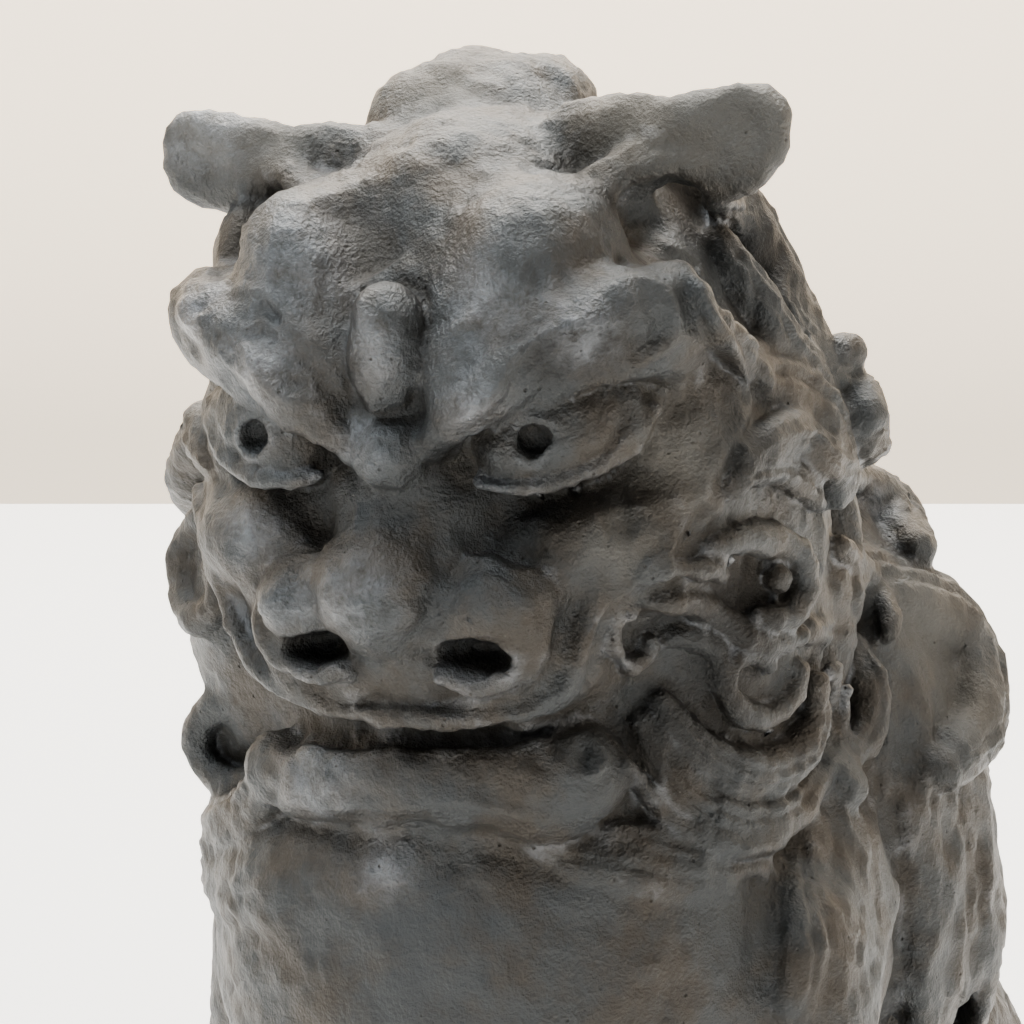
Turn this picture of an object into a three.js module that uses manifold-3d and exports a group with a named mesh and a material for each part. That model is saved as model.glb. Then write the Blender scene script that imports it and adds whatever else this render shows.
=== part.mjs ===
// Seated guardian lion-dog (komainu) with a closed mouth and one blunt horn, cast in iron
// in one piece with a low base. Millimetres, +Z up. The figure faces -Y, its own left is +X,
// and the origin is the centre of the underside of the base.
import * as THREE from "three";
import { mergeVertices } from "three/addons/utils/BufferGeometryUtils.js";
import Module from "manifold-3d";

const wasm = await Module();
wasm.setup();

// Driving sizes. Places on the figure are measured from the middle of the head.
const BASE = { width: 112, depth: 150, height: 9, corner: 16, chamfer: 1.4 };
const HEAD_PLACE = new THREE.Vector3(0, -29, 131);
const HEAD_TURN = THREE.MathUtils.degToRad(6); // the face looks a little to the figure's left
const HEAD_TILT = THREE.MathUtils.degToRad(-2); // and its left side is held a little higher
const GROUND = BASE.height - HEAD_PLACE.z; // top of the base, seen from the head

const BODY_FRAME = new THREE.Matrix4().makeTranslation(HEAD_PLACE);
const HEAD_FRAME = BODY_FRAME.clone()
  .multiply(new THREE.Matrix4().makeRotationZ(HEAD_TURN))
  .multiply(new THREE.Matrix4().makeRotationY(HEAD_TILT));

// The mane lies on a shell round the head, and the cape of long hair on the shoulders' hump.
const COAT = { c: [0, 8, -6], r: [33.5, 32, 50] };
const HUMP = { c: [0, 46, -36], r: [38.5, 32.5, 36.5] };

const SIDES = [1, -1];
const mirrored = (p, side) => [p[0] * side, p[1], p[2]];

// Value at x of the broken line through (xs, ys).
function along(xs, ys, x) {
  let i = 0;
  while (i < xs.length - 2 && x > xs[i + 1]) i++;
  const t = THREE.MathUtils.clamp((x - xs[i]) / (xs[i + 1] - xs[i]), 0, 1);
  return THREE.MathUtils.lerp(ys[i], ys[i + 1], t);
}

// Point of a shell at an angle from the front (degrees, left is positive) and a height,
// moved out of the shell by lift.
function onShell({ c, r }, angle, z, lift = 0) {
  const a = THREE.MathUtils.degToRad(angle);
  const level = Math.sqrt(Math.max(0, 1 - ((z - c[2]) / r[2]) ** 2));
  return [c[0] + (r[0] * level + lift) * Math.sin(a), c[1] - (r[1] * level + lift) * Math.cos(a), z];
}

// Three.js closes its round shapes with doubled vertices. A solid needs each one once.
function closed(geometry) {
  geometry.deleteAttribute("normal");
  geometry.deleteAttribute("uv");
  return mergeVertices(geometry);
}

// Ellipsoid with its middle at c, half-axes r and optional turns about X, Y and Z in degrees.
function ball(c, r, { turn = [0, 0, 0], around = 8, rings = 5 } = {}) {
  const angles = turn.map(THREE.MathUtils.degToRad);
  return closed(new THREE.SphereGeometry(1, around, rings))
    .rotateX(Math.PI / 2)
    .scale(...r)
    .applyMatrix4(new THREE.Matrix4().makeRotationFromEuler(new THREE.Euler(...angles)))
    .translate(...c);
}

// Round-ended limb: a sphere drawn out along a smooth line. Its half-widths follow radii,
// and flat is its thickness over its width, measured away from the point hub.
function limb(points, radii, { flat = 1, hub = [0, 8, 0], around = 5, rings = 6 } = {}) {
  const line = new THREE.CatmullRomCurve3(points.map((p) => new THREE.Vector3(...p)));
  const shape = closed(new THREE.SphereGeometry(1, around, rings));
  const spots = shape.getAttribute("position");
  const stations = radii.map((_, i) => i / (radii.length - 1));
  const bluntness = Math.sqrt(line.getLength() / (2 * Math.max(...radii)));
  const centre = new THREE.Vector3(...hub);
  for (let i = 0; i < spots.count; i++) {
    const v = new THREE.Vector3().fromBufferAttribute(spots, i);
    const t = (1 - THREE.MathUtils.clamp(v.y, -1, 1)) / 2;
    const ring = Math.hypot(v.x, v.z);
    const p = line.getPoint(t);
    const ahead = line.getTangent(t);
    const out = p.clone().sub(centre).projectOnPlane(ahead).normalize();
    const across = ahead.clone().cross(out);
    const r = along(stations, radii, t) * Math.min(1, ring * bluntness);
    if (ring > 1e-6) {
      p.addScaledVector(across, (r * v.x) / ring);
      p.addScaledVector(out, (-r * flat * v.z) / ring);
    }
    spots.setXYZ(i, p.x, p.y, p.z);
  }
  return shape;
}

// Distance outside an ellipsoid, about right near its surface.
const egg = (c, r) => (x, y, z) => {
  const [u, v, w] = [(x - c[0]) / r[0], (y - c[1]) / r[1], (z - c[2]) / r[2]];
  const size = Math.hypot(u, v, w);
  return (size * (size - 1)) / Math.max(Math.hypot(u / r[0], v / r[1], w / r[2]), 1e-6);
};

// The smaller of a and b, with the corner between them rounded over the length reach.
function smoothMin(a, b, reach) {
  const h = Math.max(reach - Math.abs(a - b), 0) / reach;
  return Math.min(a, b) - (h * h * reach) / 4;
}

// One skin over lumps, as clay is smoothed over them, with hollows pressed into it. A sphere's
// points are drawn in towards centre until they touch. reach is how widely the lumps run
// together. The closer crowding is to 1, the more of the sphere's columns face -Y.
function skin({ lumps, hollows = [], centre, reach, around, rings, crowding = 0 }) {
  const outside = 110;
  const steps = 60;
  const surface = (x, y, z) => {
    const full = lumps.reduce((d, lump) => smoothMin(d, lump(x, y, z), reach), Infinity);
    return hollows.reduce((d, hollow) => -smoothMin(-d, hollow(x, y, z), reach / 2), full);
  };
  const shape = closed(new THREE.SphereGeometry(1, around, rings)).rotateX(Math.PI / 2);
  const spots = shape.getAttribute("position");
  for (let i = 0; i < spots.count; i++) {
    const v = new THREE.Vector3().fromBufferAttribute(spots, i);
    const level = Math.hypot(v.x, v.y);
    const turn = Math.atan2(v.x, -v.y);
    const angle = turn - crowding * Math.sin(turn);
    const ray = new THREE.Vector3(level * Math.sin(angle), -level * Math.cos(angle), v.z).normalize();
    const at = (d) => [centre[0] + ray.x * d, centre[1] + ray.y * d, centre[2] + ray.z * d];
    let distance = outside;
    for (let step = 0; step < steps; step++) distance -= 0.8 * surface(...at(distance));
    spots.setXYZ(i, ...at(distance));
  }
  return shape;
}

// How much further the mane stands out beside the cheek on the figure's right.
const fullness = (angle, z) => 5 * Math.exp(-(((angle - 62) / 26) ** 2) - ((z + 10) / 20) ** 2);

// Places of a lock that lies on the coat through [angle, height] spots. It starts at the depth
// sink under the shell and ends rise above it.
const onCoat = (spots, side, rise, sink) =>
  spots.map(([angle, z], i) => {
    const lift = THREE.MathUtils.lerp(-sink, rise, i / (spots.length - 1));
    return onShell(COAT, angle * side, z, lift + (side < 0 ? fullness(angle, z) : 0));
  });

// Lock of hair with a ridge down its middle, which stands clear of the coat by rise at its tip.
const lock = (spots, radii, { side, rise = 3, sink = 1, flat = 0.9, rings = 5 }) =>
  limb(onCoat(spots, side, rise, sink), radii, { flat, around: 4, rings });

// Snail curl on the coat: a round strand wound about its middle.
function curl(angle, z, radius, turns, { side, width, start, rise = 1.5 }) {
  const steps = Math.ceil(turns * 6);
  const degreesPerMm = 180 / (Math.PI * COAT.r[0]);
  const spots = Array.from({ length: steps + 1 }, (_, i) => {
    const a = THREE.MathUtils.degToRad(start + (360 * turns * i) / steps);
    const r = radius * (1 - (0.75 * i) / steps);
    return [angle + r * Math.cos(a) * degreesPerMm, z + r * Math.sin(a)];
  });
  const radii = [width * 0.6, width, width, width * 0.8];
  return limb(onCoat(spots, side, rise, 0), radii, { around: 4, rings: steps + 2 });
}

// A closed three.js geometry as a solid, placed by a frame.
function solid(geometry, frame) {
  const placed = geometry.clone().applyMatrix4(frame);
  const shape = new wasm.Manifold(
    new wasm.Mesh({
      numProp: 3,
      vertProperties: placed.getAttribute("position").array,
      triVerts: new Uint32Array(placed.index.array),
    }),
  );
  if (shape.isEmpty()) throw new Error("a shape of the figure isn't closed");
  return shape;
}

// Broad locks that lie flat on the mane, on one side and round the back.
function flatLocks(side) {
  const rows = [
    { z: 30, from: 126, to: 180, drop: 20 },
    { z: 9, from: 112, to: 168, drop: 22 },
  ];
  const pitch = 28; // degrees from one lock to the next
  const hook = 9; // how far each one swings forwards and back, in degrees
  const hanging = rows.flatMap(({ z, from, to, drop }) => {
    const count = Math.ceil((to - from) / pitch);
    const angles = Array.from({ length: count }, (_, i) => from + (i + 0.25) * pitch);
    return angles.map((angle) => {
      const root = [angle, z + 7];
      const bulge = [angle + hook, z - drop * 0.3];
      const turn = [angle + hook * 0.5, z - drop * 0.8];
      const tip = [angle - hook, z - drop];
      return lock([root, bulge, turn, tip], [4, 8.5, 8, 2.5], { side, rise: 3, sink: 3 });
    });
  });
  const flat = { side, rise: 1.5, sink: 2.5 };
  return [
    ...hanging,
    lock([[64, 41], [84, 37], [98, 30], [102, 17]], [5, 7, 6.5, 4], flat),
    lock([[54, 34], [68, 28], [80, 21], [88, 13]], [4, 5, 5, 3], flat),
    lock([[60, 17], [76, 15], [90, 10], [97, 0]], [4, 5.5, 6, 3.5], flat),
    lock([[2, -34], [30, -36.5], [60, -40], [86, -41]], [5, 6.5, 6, 4], flat),
  ];
}

// Skull, face, jaw and mane under one skin.
function headMasses() {
  const lumps = [
    egg([0, -1, 16], [27, 27, 27]), // skull
    egg([0, -6, 33], [14, 17, 11]), // crown
    egg([0, -14, 24], [19, 15.5, 12]), // forehead
    egg([0, -21, 3], [10, 10.5, 14]), // bridge of the nose
    egg([-0.8, -28, -3], [7, 9, 6]), // nose
    egg([0, -19, -8], [18, 12, 9]), // muzzle
    egg([0, -23, -10.5], [14, 8.2, 6]), // lip below the nose
    egg([0, -12, -22], [21, 13, 8]), // jaw
    egg([0, -13, -31], [21, 13, 8]), // beard under the jaw
    egg(COAT.c, COAT.r), // body of the mane
    egg([-26, 2, -10], [14, 18, 24]), // its fuller right side
  ];
  for (const side of SIDES) {
    lumps.push(
      egg(mirrored([11.5, -20, 28.5], side), [9, 10, 8.5]), // forehead boss
      egg(mirrored([22, -18, 22], side), [7, 7, 5]), // outer end of the brow
      egg(mirrored([17, -18, 0], side), [11, 10.5, 7.5]), // cheek
      egg(mirrored([24, -9, 9], side), [7, 12, 14]), // temple
      egg(mirrored([10.5, -22, -9], side), [9, 8.5, 7.5]), // whisker pad
      egg(mirrored([10, -29, -4.5], side), [5.5, 5.5, 4.5]), // side of the nose
    );
  }
  return [
    skin({
      lumps,
      hollows: SIDES.map((side) => egg(mirrored([15.5, -32, 12], side), [11, 6, 5.5])), // eye sockets
      centre: [0, 0, 2],
      reach: 4,
      around: 32,
      rings: 24,
      crowding: 0.45,
    }),
  ];
}

// Flame-like brow with a knob at its outer end.
function brows(side) {
  const m = (p) => mirrored(p, side);
  const crest = [
    [5.5, -31.5, 13], [11.5, -32, 15.8], [16, -30.5, 18.8],
    [20.5, -27.5, 21.5], [24.8, -22, 23],
  ];
  return [
    limb(crest.map(m), [1.8, 2.5, 3, 3.6, 3.6], { around: 6, rings: 7 }),
    ball(m([25.2, -20.5, 24.2]), [4, 4, 4], { around: 7, rings: 5 }),
  ];
}

// Eyeball and the lid below it.
function eyes(side) {
  const m = (p) => mirrored(p, side);
  const lowerLid = [[5.5, -30.5, 9.2], [10.5, -30.6, 8], [16, -29.6, 8], [21.5, -26, 10.2], [25, -21, 15.5]];
  return [
    ball(m([15.8, -23, 12.6]), [9.5, 6.8, 5.4], { turn: [0, -20 * side, 34 * side] }),
    limb(lowerLid.map(m), [1, 1.3, 1.5, 1.4, 1], { around: 4 }),
  ];
}

function nose() {
  // wing of the nose, rolled round its nostril to below it
  const wing = [
    [6, -33, -1.5], [10.5, -32.5, -0.8], [14, -30.5, -4.2],
    [13, -31.2, -9.4], [8.5, -32, -11.4], [4.5, -32.4, -10.2],
  ];
  const parts = [
    ball([0, -31.4, 11.4], [3.4, 2.6, 2.8], { around: 6, rings: 4 }), // knot at the root of the nose
    ball([0, -29.4, 21.2], [4.2, 4, 6.6], { turn: [-6, 0, 0], around: 8, rings: 7 }), // forehead jewel
    ball([-1, -33.6, -2.8], [6.2, 4, 4.8]), // tip
  ];
  for (const side of SIDES) {
    const path = wing.map((p) => mirrored(p, side));
    parts.push(limb(path, [2.6, 3.2, 3.2, 2.2, 1.7, 1.3], { rings: 8 }));
  }
  return parts;
}

function lips() {
  const bothSides = (half) => [...half.map((p) => mirrored(p, -1)).reverse(), ...half];
  // from the middle out: the rim of the upper lip, which rises to the cheek, and the lower lip
  const upper = [
    [5, -30.8, -14.6], [14.5, -28.6, -12.6], [18.5, -26.2, -8],
    [20.8, -25, -3], [24.5, -21.6, 0.5], [28, -16.5, 5],
  ];
  const lower = [[6, -26.8, -22.4], [13, -24.2, -22.8], [20, -19.5, -21.5]];
  const corner = [20.5, -19.5, -18.8];
  return [
    limb(bothSides(upper), [1.5, 1.9, 2.2, 2.2, 2.2, 1.9, 1.5], { around: 4, rings: 11 }),
    limb(bothSides(lower), [4.8, 4.4, 3.9, 4.4, 4.8], { around: 6, rings: 9 }),
    ...SIDES.map((side) => ball(mirrored(corner, side), [3.2, 3.6, 4.6], { around: 6, rings: 4 })),
  ];
}

// Ear held out level from the crown, its opening to the front.
function ear(side) {
  const line = [[9, -6, 38], [17, -8, 41.2], [24, -9, 40.8], [30, -10, 41.6], [34.5, -10.5, 43]];
  const path = line.map((p) => mirrored(p, side));
  return limb(path, [4.6, 5, 4.8, 4.2, 3.6], { flat: 0.6, hub: [22 * side, 60, 40], around: 7, rings: 7 });
}

// Short blunt horn lying back from the crown, higher along its right edge.
function horn() {
  const body = [[-1, -4, 37], [-2, 3, 43], [-2, 10, 45], [-1, 18, 44.5]];
  const rim = [[-3.5, -2, 42], [-6, 4, 47.5], [-5, 11, 47.5], [-4.5, 17, 46]];
  return [limb(body, [12, 10.5, 9.5, 8.5], { flat: 0.6, around: 7 }), limb(rim, [4, 4.6, 4.2, 3.4])];
}

// Locks and curls that stand clear of the mane on one side of the face, from the ear to the beard.
function sideMane(side) {
  const long = { side, rings: 6, rise: 4 };
  const cheek = [[45, 7], [56, 10], [66, 8.5], [76, 3], [86, -1], [96, 1]];
  const outer = [[28, -18], [42, -28], [64, -35], [86, -31], [91, -22], [86, -13]];
  return [
    lock([[110, 28], [104, 22], [97, 17]], [3, 3.8, 3.4], { side, rise: 6 }),
    lock([[76, 16], [88, 12], [94, 5]], [3, 4.8, 3.6], { side, rise: 5 }),
    lock(cheek, [2, 3.2, 3.6, 3.4, 3, 2.6], { ...long, rise: 5.5 }),
    curl(56, -6, 6, 1.2, { side, start: 60, width: 2.4 }),
    ball(onShell(COAT, 56 * side, -5, 2), [2.4, 2.4, 2.4], { around: 5, rings: 4 }), // bead in the curl
    lock([[80, -3], [91, -9], [96, -17]], [3, 3.6, 2.2], { side, rise: 4 }),
    lock([[33, -13], [42, -19], [60, -24.5], [79, -23], [83, -13]], [2, 4, 5, 4.4, 1.8], long),
    lock(outer, [2, 4.2, 5.4, 4.8, 3.4, 1.6], long),
  ];
}

// Long locks that lie over one shoulder and down the back.
function capeLocks(side) {
  const strands = 4;
  const first = 56;
  const pitch = 34; // degrees from one to the next
  const lift = 1.5;
  return Array.from({ length: strands }, (_, i) => {
    const angle = first + i * pitch;
    const spots = [[angle + 6, -4], [angle + 4, -24], [angle, -44], [angle - 6, -58], [angle - 16, -65]];
    const path = spots.map(([a, z]) => onShell(HUMP, a * side, z, lift));
    return limb(path, [4, 8.5, 9.5, 7, 2], { flat: 0.42, hub: HUMP.c, around: 4, rings: 5 });
  });
}

// Chest, shoulders, back, belly and thighs under one skin.
function torso() {
  const lumps = [
    egg([0, -2, -50], [34, 30, 36]), // chest
    egg([0, 10, -22], [27, 27, 22]), // neck
    egg(HUMP.c, HUMP.r), // shoulders
    egg([0, 34, -60], [24, 34, 24]), // belly
    egg([0, 58, -68], [34, 31, 40]), // back
    egg([0, 62, -96], [26, 27, 30]), // rump
    ...SIDES.flatMap((side) => [
      egg(mirrored([29, 15, -50], side), [11, 15, 20]), // upper arm
      egg(mirrored([29.5, 62, -95], side), [16, 28, 27]), // thigh
    ]),
  ];
  const trunk = skin({ lumps, centre: [0, 34, -62], reach: 6, around: 26, rings: 16 });
  return [trunk, ...SIDES.flatMap(capeLocks)];
}

// Paw resting on the base: a palm and four toes under one skin.
function paw([x, y], [halfWidth, halfLength, height], toe) {
  const toes = [-1, -1 / 3, 1 / 3, 1].map((share) => {
    const across = x + (halfWidth - toe * 0.5) * share;
    const tip = y - halfLength * 0.75 + Math.abs(share) * 3;
    return egg([across, tip, GROUND + toe * 0.9], [toe * 0.9, 7, toe * 1.6]);
  });
  const palm = egg([x, y, GROUND + height * 0.55], [halfWidth, halfLength * 0.85, height]);
  const centre = [x, y + halfLength * 0.2, GROUND + toe * 0.5];
  return skin({ lumps: [palm, ...toes], centre, reach: 0.8, around: 20, rings: 6, crowding: 0.5 });
}

function foreleg(side) {
  const m = (p) => mirrored(p, side);
  const leg = [[26, 7, -36], [29.5, 4, -54], [31.5, 3, -74], [33, -1, -98], [33, -5, GROUND + 10]];
  const elbowHair = [[36, 12, -78], [37, 20, -76], [37.5, 25, -68]];
  const shoulderLock = [[33, 2, -38], [36.5, -3, -43], [36.5, -5, -49], [33, -6, -55]];
  const lockShape = { hub: m([20, 4, -50]), flat: 0.8, around: 4, rings: 5 };
  return [
    limb(leg.map(m), [13, 12.8, 12, 10.8, 10.5], { hub: m([0, 3, -70]), around: 8, rings: 8 }),
    paw([33 * side, -12], [12.5, 16, 11], 4.2),
    limb(elbowHair.map(m), [4, 3.6, 1], { around: 4, rings: 4 }),
    limb(shoulderLock.map(m), [2, 3, 2.8, 1], lockShape),
  ];
}

function hindLeg(side) {
  const m = (p) => mirrored(p, side);
  const foot = [[35, 72, GROUND + 8], [37, 56, GROUND + 8], [37, 42, GROUND + 7]];
  return [
    limb(foot.map(m), [9, 9.5, 8], { hub: m([37, 56, GROUND - 20]), flat: 0.85, around: 8 }),
    paw([37 * side, 42], [11.5, 15, 10], 3.9),
  ];
}

// Upright flame tail with two smaller flames on each side.
function tail() {
  const hub = [0, 20, -70];
  const stem = [[0, 82, -108], [0, 92, -92], [0, 93, -72], [0, 88, -52], [0, 91, -34]];
  const flames = [
    { z: -86, reach: 18, lift: 14 },
    { z: -68, reach: 15, lift: 16 },
  ];
  const flame = (side, { z, reach, lift }) => {
    const path = [
      [3 * side, 91, z - 6],
      [reach * 0.6 * side, 92, z - 3],
      [reach * side, 92, z + lift * 0.4],
      [reach * 0.9 * side, 94, z + lift],
    ];
    return limb(path, [4, 4.6, 3.6, 1], { flat: 0.7, hub, around: 4, rings: 5 });
  };
  return [
    limb(stem, [8, 11, 11, 8, 1.6], { flat: 0.7, hub, around: 7, rings: 8 }),
    ...SIDES.flatMap((side) => flames.map((place) => flame(side, place))),
  ];
}

function plinth() {
  const w = BASE.width / 2 - BASE.chamfer;
  const d = BASE.depth / 2 - BASE.chamfer;
  const r = BASE.corner - BASE.chamfer;
  const outline = new THREE.Shape()
    .moveTo(-w + r, -d)
    .lineTo(w - r, -d)
    .absarc(w - r, -d + r, r, -Math.PI / 2, 0)
    .absarc(w - r, d - r, r, 0, Math.PI / 2)
    .absarc(-w + r, d - r, r, Math.PI / 2, Math.PI)
    .absarc(-w + r, -d + r, r, Math.PI, 1.5 * Math.PI);
  return closed(
    new THREE.ExtrudeGeometry(outline, {
      depth: BASE.height - 2 * BASE.chamfer,
      bevelSize: BASE.chamfer,
      bevelThickness: BASE.chamfer,
      bevelSegments: 1,
      curveSegments: 3,
    }),
  ).translate(0, 0, BASE.chamfer);
}

// What is cut into the head: mouth, nostrils, pupils and the hollows of the ears.
function headHollows() {
  const mouth = [[-17, -26, -17.5], [-8, -30, -18.3], [0, -31, -18.3], [8, -30, -18.3], [17, -26, -17.5]];
  const parts = [limb(mouth, [1, 1.6, 1.7, 1.6, 1], { hub: [0, -28, 40], rings: 8 })];
  for (const side of SIDES) {
    const m = (p) => mirrored(p, side);
    parts.push(
      ball(m([8.6, -34, -8.2]), [3.4, 3.6, 1.9], { turn: [0, 8 * side, 0], around: 6, rings: 5 }),
      ball(m([14.9, -30.6, 12.8]), [1.9, 1.8, 1.9], { around: 6, rings: 4 }),
      ball(m([21.5, -13, 33.5]), [4.4, 5, 3.6], { turn: [0, -30 * side, 0], around: 6, rings: 5 }),
    );
  }
  return parts;
}

const headParts = [...headMasses(), ...nose(), ...lips(), ...horn()];
const bodyParts = [...torso(), ...tail()];
for (const side of SIDES) {
  headParts.push(...brows(side), ...eyes(side), ear(side), ...flatLocks(side), ...sideMane(side));
  bodyParts.push(...foreleg(side), ...hindLeg(side));
}

const join = (parts, frame) => parts.map((g) => solid(g, frame)).reduce((a, b) => a.add(b));
const head = join(headParts, HEAD_FRAME).subtract(join(headHollows(), HEAD_FRAME));
// nothing of the figure reaches below the middle of the base
const room = 400;
const aboveBase = closed(new THREE.BoxGeometry(room, room, room)).translate(0, 0, (room + BASE.height) / 2);
const body = join(bodyParts, BODY_FRAME).intersect(solid(aboveBase, new THREE.Matrix4()));
const figure = head.add(body).add(solid(plinth(), new THREE.Matrix4()));
const casting = figure.decompose().reduce((a, b) => (b.volume() > a.volume() ? b : a));

const mesh = casting.getMesh();
const geometry = new THREE.BufferGeometry();
geometry.setAttribute("position", new THREE.BufferAttribute(mesh.vertProperties, 3));
geometry.setIndex(new THREE.BufferAttribute(mesh.triVerts, 1));
geometry.computeVertexNormals();

const iron = new THREE.MeshStandardMaterial({
  color: 0x4b4c4a,
  roughness: 0.62,
  metalness: 0.55,
  flatShading: true,
});
const komainu = new THREE.Mesh(geometry, iron);
komainu.name = "komainu";

const part = new THREE.Group();
part.add(komainu);
export default part;
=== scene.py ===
"""Komainu statue in cast iron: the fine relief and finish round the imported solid.

Places are in millimetres. The figure faces -Y and its own left is +X. Places on the head and
body are measured from the middle of the head, and places seen are measured across and up from
the middle of the face, in the plane that the photograph looks at.
"""

from __future__ import annotations

import logging
import math
from dataclasses import dataclass, field
from enum import Enum
from typing import Callable, Iterable, Sequence

import bmesh
import bpy
import numpy as np
from mathutils import Matrix, Vector

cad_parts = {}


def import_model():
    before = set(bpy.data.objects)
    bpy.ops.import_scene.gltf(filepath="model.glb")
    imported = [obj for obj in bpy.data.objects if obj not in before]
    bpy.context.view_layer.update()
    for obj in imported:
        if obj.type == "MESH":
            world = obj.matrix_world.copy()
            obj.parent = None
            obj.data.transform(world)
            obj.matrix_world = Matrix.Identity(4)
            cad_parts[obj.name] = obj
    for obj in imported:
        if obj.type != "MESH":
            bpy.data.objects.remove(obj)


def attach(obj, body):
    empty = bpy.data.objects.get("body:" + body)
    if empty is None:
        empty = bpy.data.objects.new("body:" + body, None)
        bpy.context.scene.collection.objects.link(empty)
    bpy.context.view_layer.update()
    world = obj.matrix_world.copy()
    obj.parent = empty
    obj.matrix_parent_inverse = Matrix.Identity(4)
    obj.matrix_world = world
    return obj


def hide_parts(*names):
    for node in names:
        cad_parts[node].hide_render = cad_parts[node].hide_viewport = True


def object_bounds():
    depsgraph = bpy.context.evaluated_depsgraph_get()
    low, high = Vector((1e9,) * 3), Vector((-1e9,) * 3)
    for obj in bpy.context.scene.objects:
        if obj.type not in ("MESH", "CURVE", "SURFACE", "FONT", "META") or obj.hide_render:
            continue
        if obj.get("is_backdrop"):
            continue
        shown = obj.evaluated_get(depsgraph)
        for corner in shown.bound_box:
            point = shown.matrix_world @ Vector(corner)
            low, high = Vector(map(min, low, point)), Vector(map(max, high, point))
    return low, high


Point = tuple[float, float, float]
Spot = tuple[float, float]
# places seen, then half-width and depth, which is negative for a ridge
Mark = tuple[Sequence[Spot], float, float]

LOG = logging.getLogger("komainu")
MM = 0.001

HEAD_PLACE = Vector((0, -29, 131))
BODY_FRAME = Matrix.Translation(HEAD_PLACE)
HEAD_TURN = Matrix.Rotation(math.radians(6), 4, "Z") @ Matrix.Rotation(math.radians(-2), 4, "Y")
HEAD_FRAME = BODY_FRAME @ HEAD_TURN
BASE_HEIGHT = 9.0
GROUND = BASE_HEIGHT - HEAD_PLACE.z
SIDES = (1, -1)

EYE_AZIMUTH = math.radians(28)
EYE_ELEVATION = math.radians(10)
EYE_DISTANCE = 230.0
EYE_FIELD = math.radians(28)

# how far from the face lines from the eye start, and how far out level lines start
EYE_CLEAR = 75.0
LEVEL_START = 90.0
# how far along its line a place is looked for, in how many steps, and the share of the way a step takes
SEEK_END = 160.0
SEEK_STEPS = 45
SEEK_PACE = 0.8
# what stands for far away from the clay, and the margin at which no shape is skipped
FAR = 60.0
WIDE = 150.0


def mirrored(points: Iterable[Point], side: int) -> list[Point]:
    """Places on the figure's left, or their mirror places on its right for side -1."""
    return [(x * side, y, z) for x, y, z in points]


def unit(v: np.ndarray) -> np.ndarray:
    """Rows of v at length one."""
    return v / np.maximum(np.linalg.norm(v, axis=-1, keepdims=True), 1e-9)


def placed(points: Sequence[Point] | np.ndarray, frame: Matrix) -> np.ndarray:
    """Points of a frame as rows in the row frame."""
    m = np.array(frame)
    return np.asarray(points, float) @ m[:3, :3].T + m[:3, 3]


def smooth_min(a: np.ndarray, b: np.ndarray, reach: float) -> np.ndarray:
    """The smaller of a and b, with the corner between them rounded over the length reach."""
    h = np.maximum(reach - np.abs(a - b), 0) / reach
    return np.minimum(a, b) - h * h * reach / 4


@dataclass(frozen=True)
class Rays:
    """Lines along which a place on the surface is looked for.

    Args:
        starts: where each line begins, clear of the figure.
        ahead: its direction, of length one.
    """

    starts: np.ndarray
    ahead: np.ndarray


def direction(azimuth: float, elevation: float) -> Point:
    """The way to a place, from its angle to the figure's left of the front and its angle above level."""
    level = math.cos(elevation)
    return math.sin(azimuth) * level, -math.cos(azimuth) * level, math.sin(elevation)


def eye_axes() -> tuple[np.ndarray, np.ndarray, np.ndarray, np.ndarray]:
    """The eye that the photograph is seen from.

    Returns:
        Its place, and the directions to its right, up and back.
    """
    back = np.array(direction(EYE_AZIMUTH, EYE_ELEVATION))
    right = unit(np.cross((0, 0, 1), back))
    return np.array(HEAD_PLACE) + back * EYE_DISTANCE, right, np.cross(back, right), back


def seen(spots: Sequence[Spot]) -> Rays:
    """Lines from the eye through places seen across and up.

    Args:
        spots: places across and up from the middle of the face.

    Returns:
        One line for each place.
    """
    eye, right, up, _ = eye_axes()
    across = np.array([s[0] for s in spots])[:, None]
    high = np.array([s[1] for s in spots])[:, None]
    ahead = unit(np.array(HEAD_PLACE) + across * right + high * up - eye)
    return Rays(eye + ahead * (EYE_DISTANCE - EYE_CLEAR), ahead)


def around(spots: Sequence[Spot], side: int = 1, frame: Matrix = HEAD_FRAME, axis: Spot = (0, 8)) -> Rays:
    """Level lines towards an upright axis, at an angle from the front and a height.

    Args:
        spots: angle in degrees, where the figure's left is positive, and height.
        side: -1 mirrors them.
        frame: the head's or the body's frame.
        axis: x and y of the upright axis in that frame.

    Returns:
        One line for each place.
    """
    turns = [math.radians(a) * side for a, _ in spots]
    out = np.array([(math.sin(t), -math.cos(t), 0) for t in turns])
    middle = np.array([(axis[0], axis[1], z) for _, z in spots])
    m = np.array(frame.to_3x3())
    return Rays(placed(middle + out * LEVEL_START, frame), -out @ m.T)


class Kind(Enum):
    """What a shape does to the clay."""

    ADD = "add"
    CUT = "cut"


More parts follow.
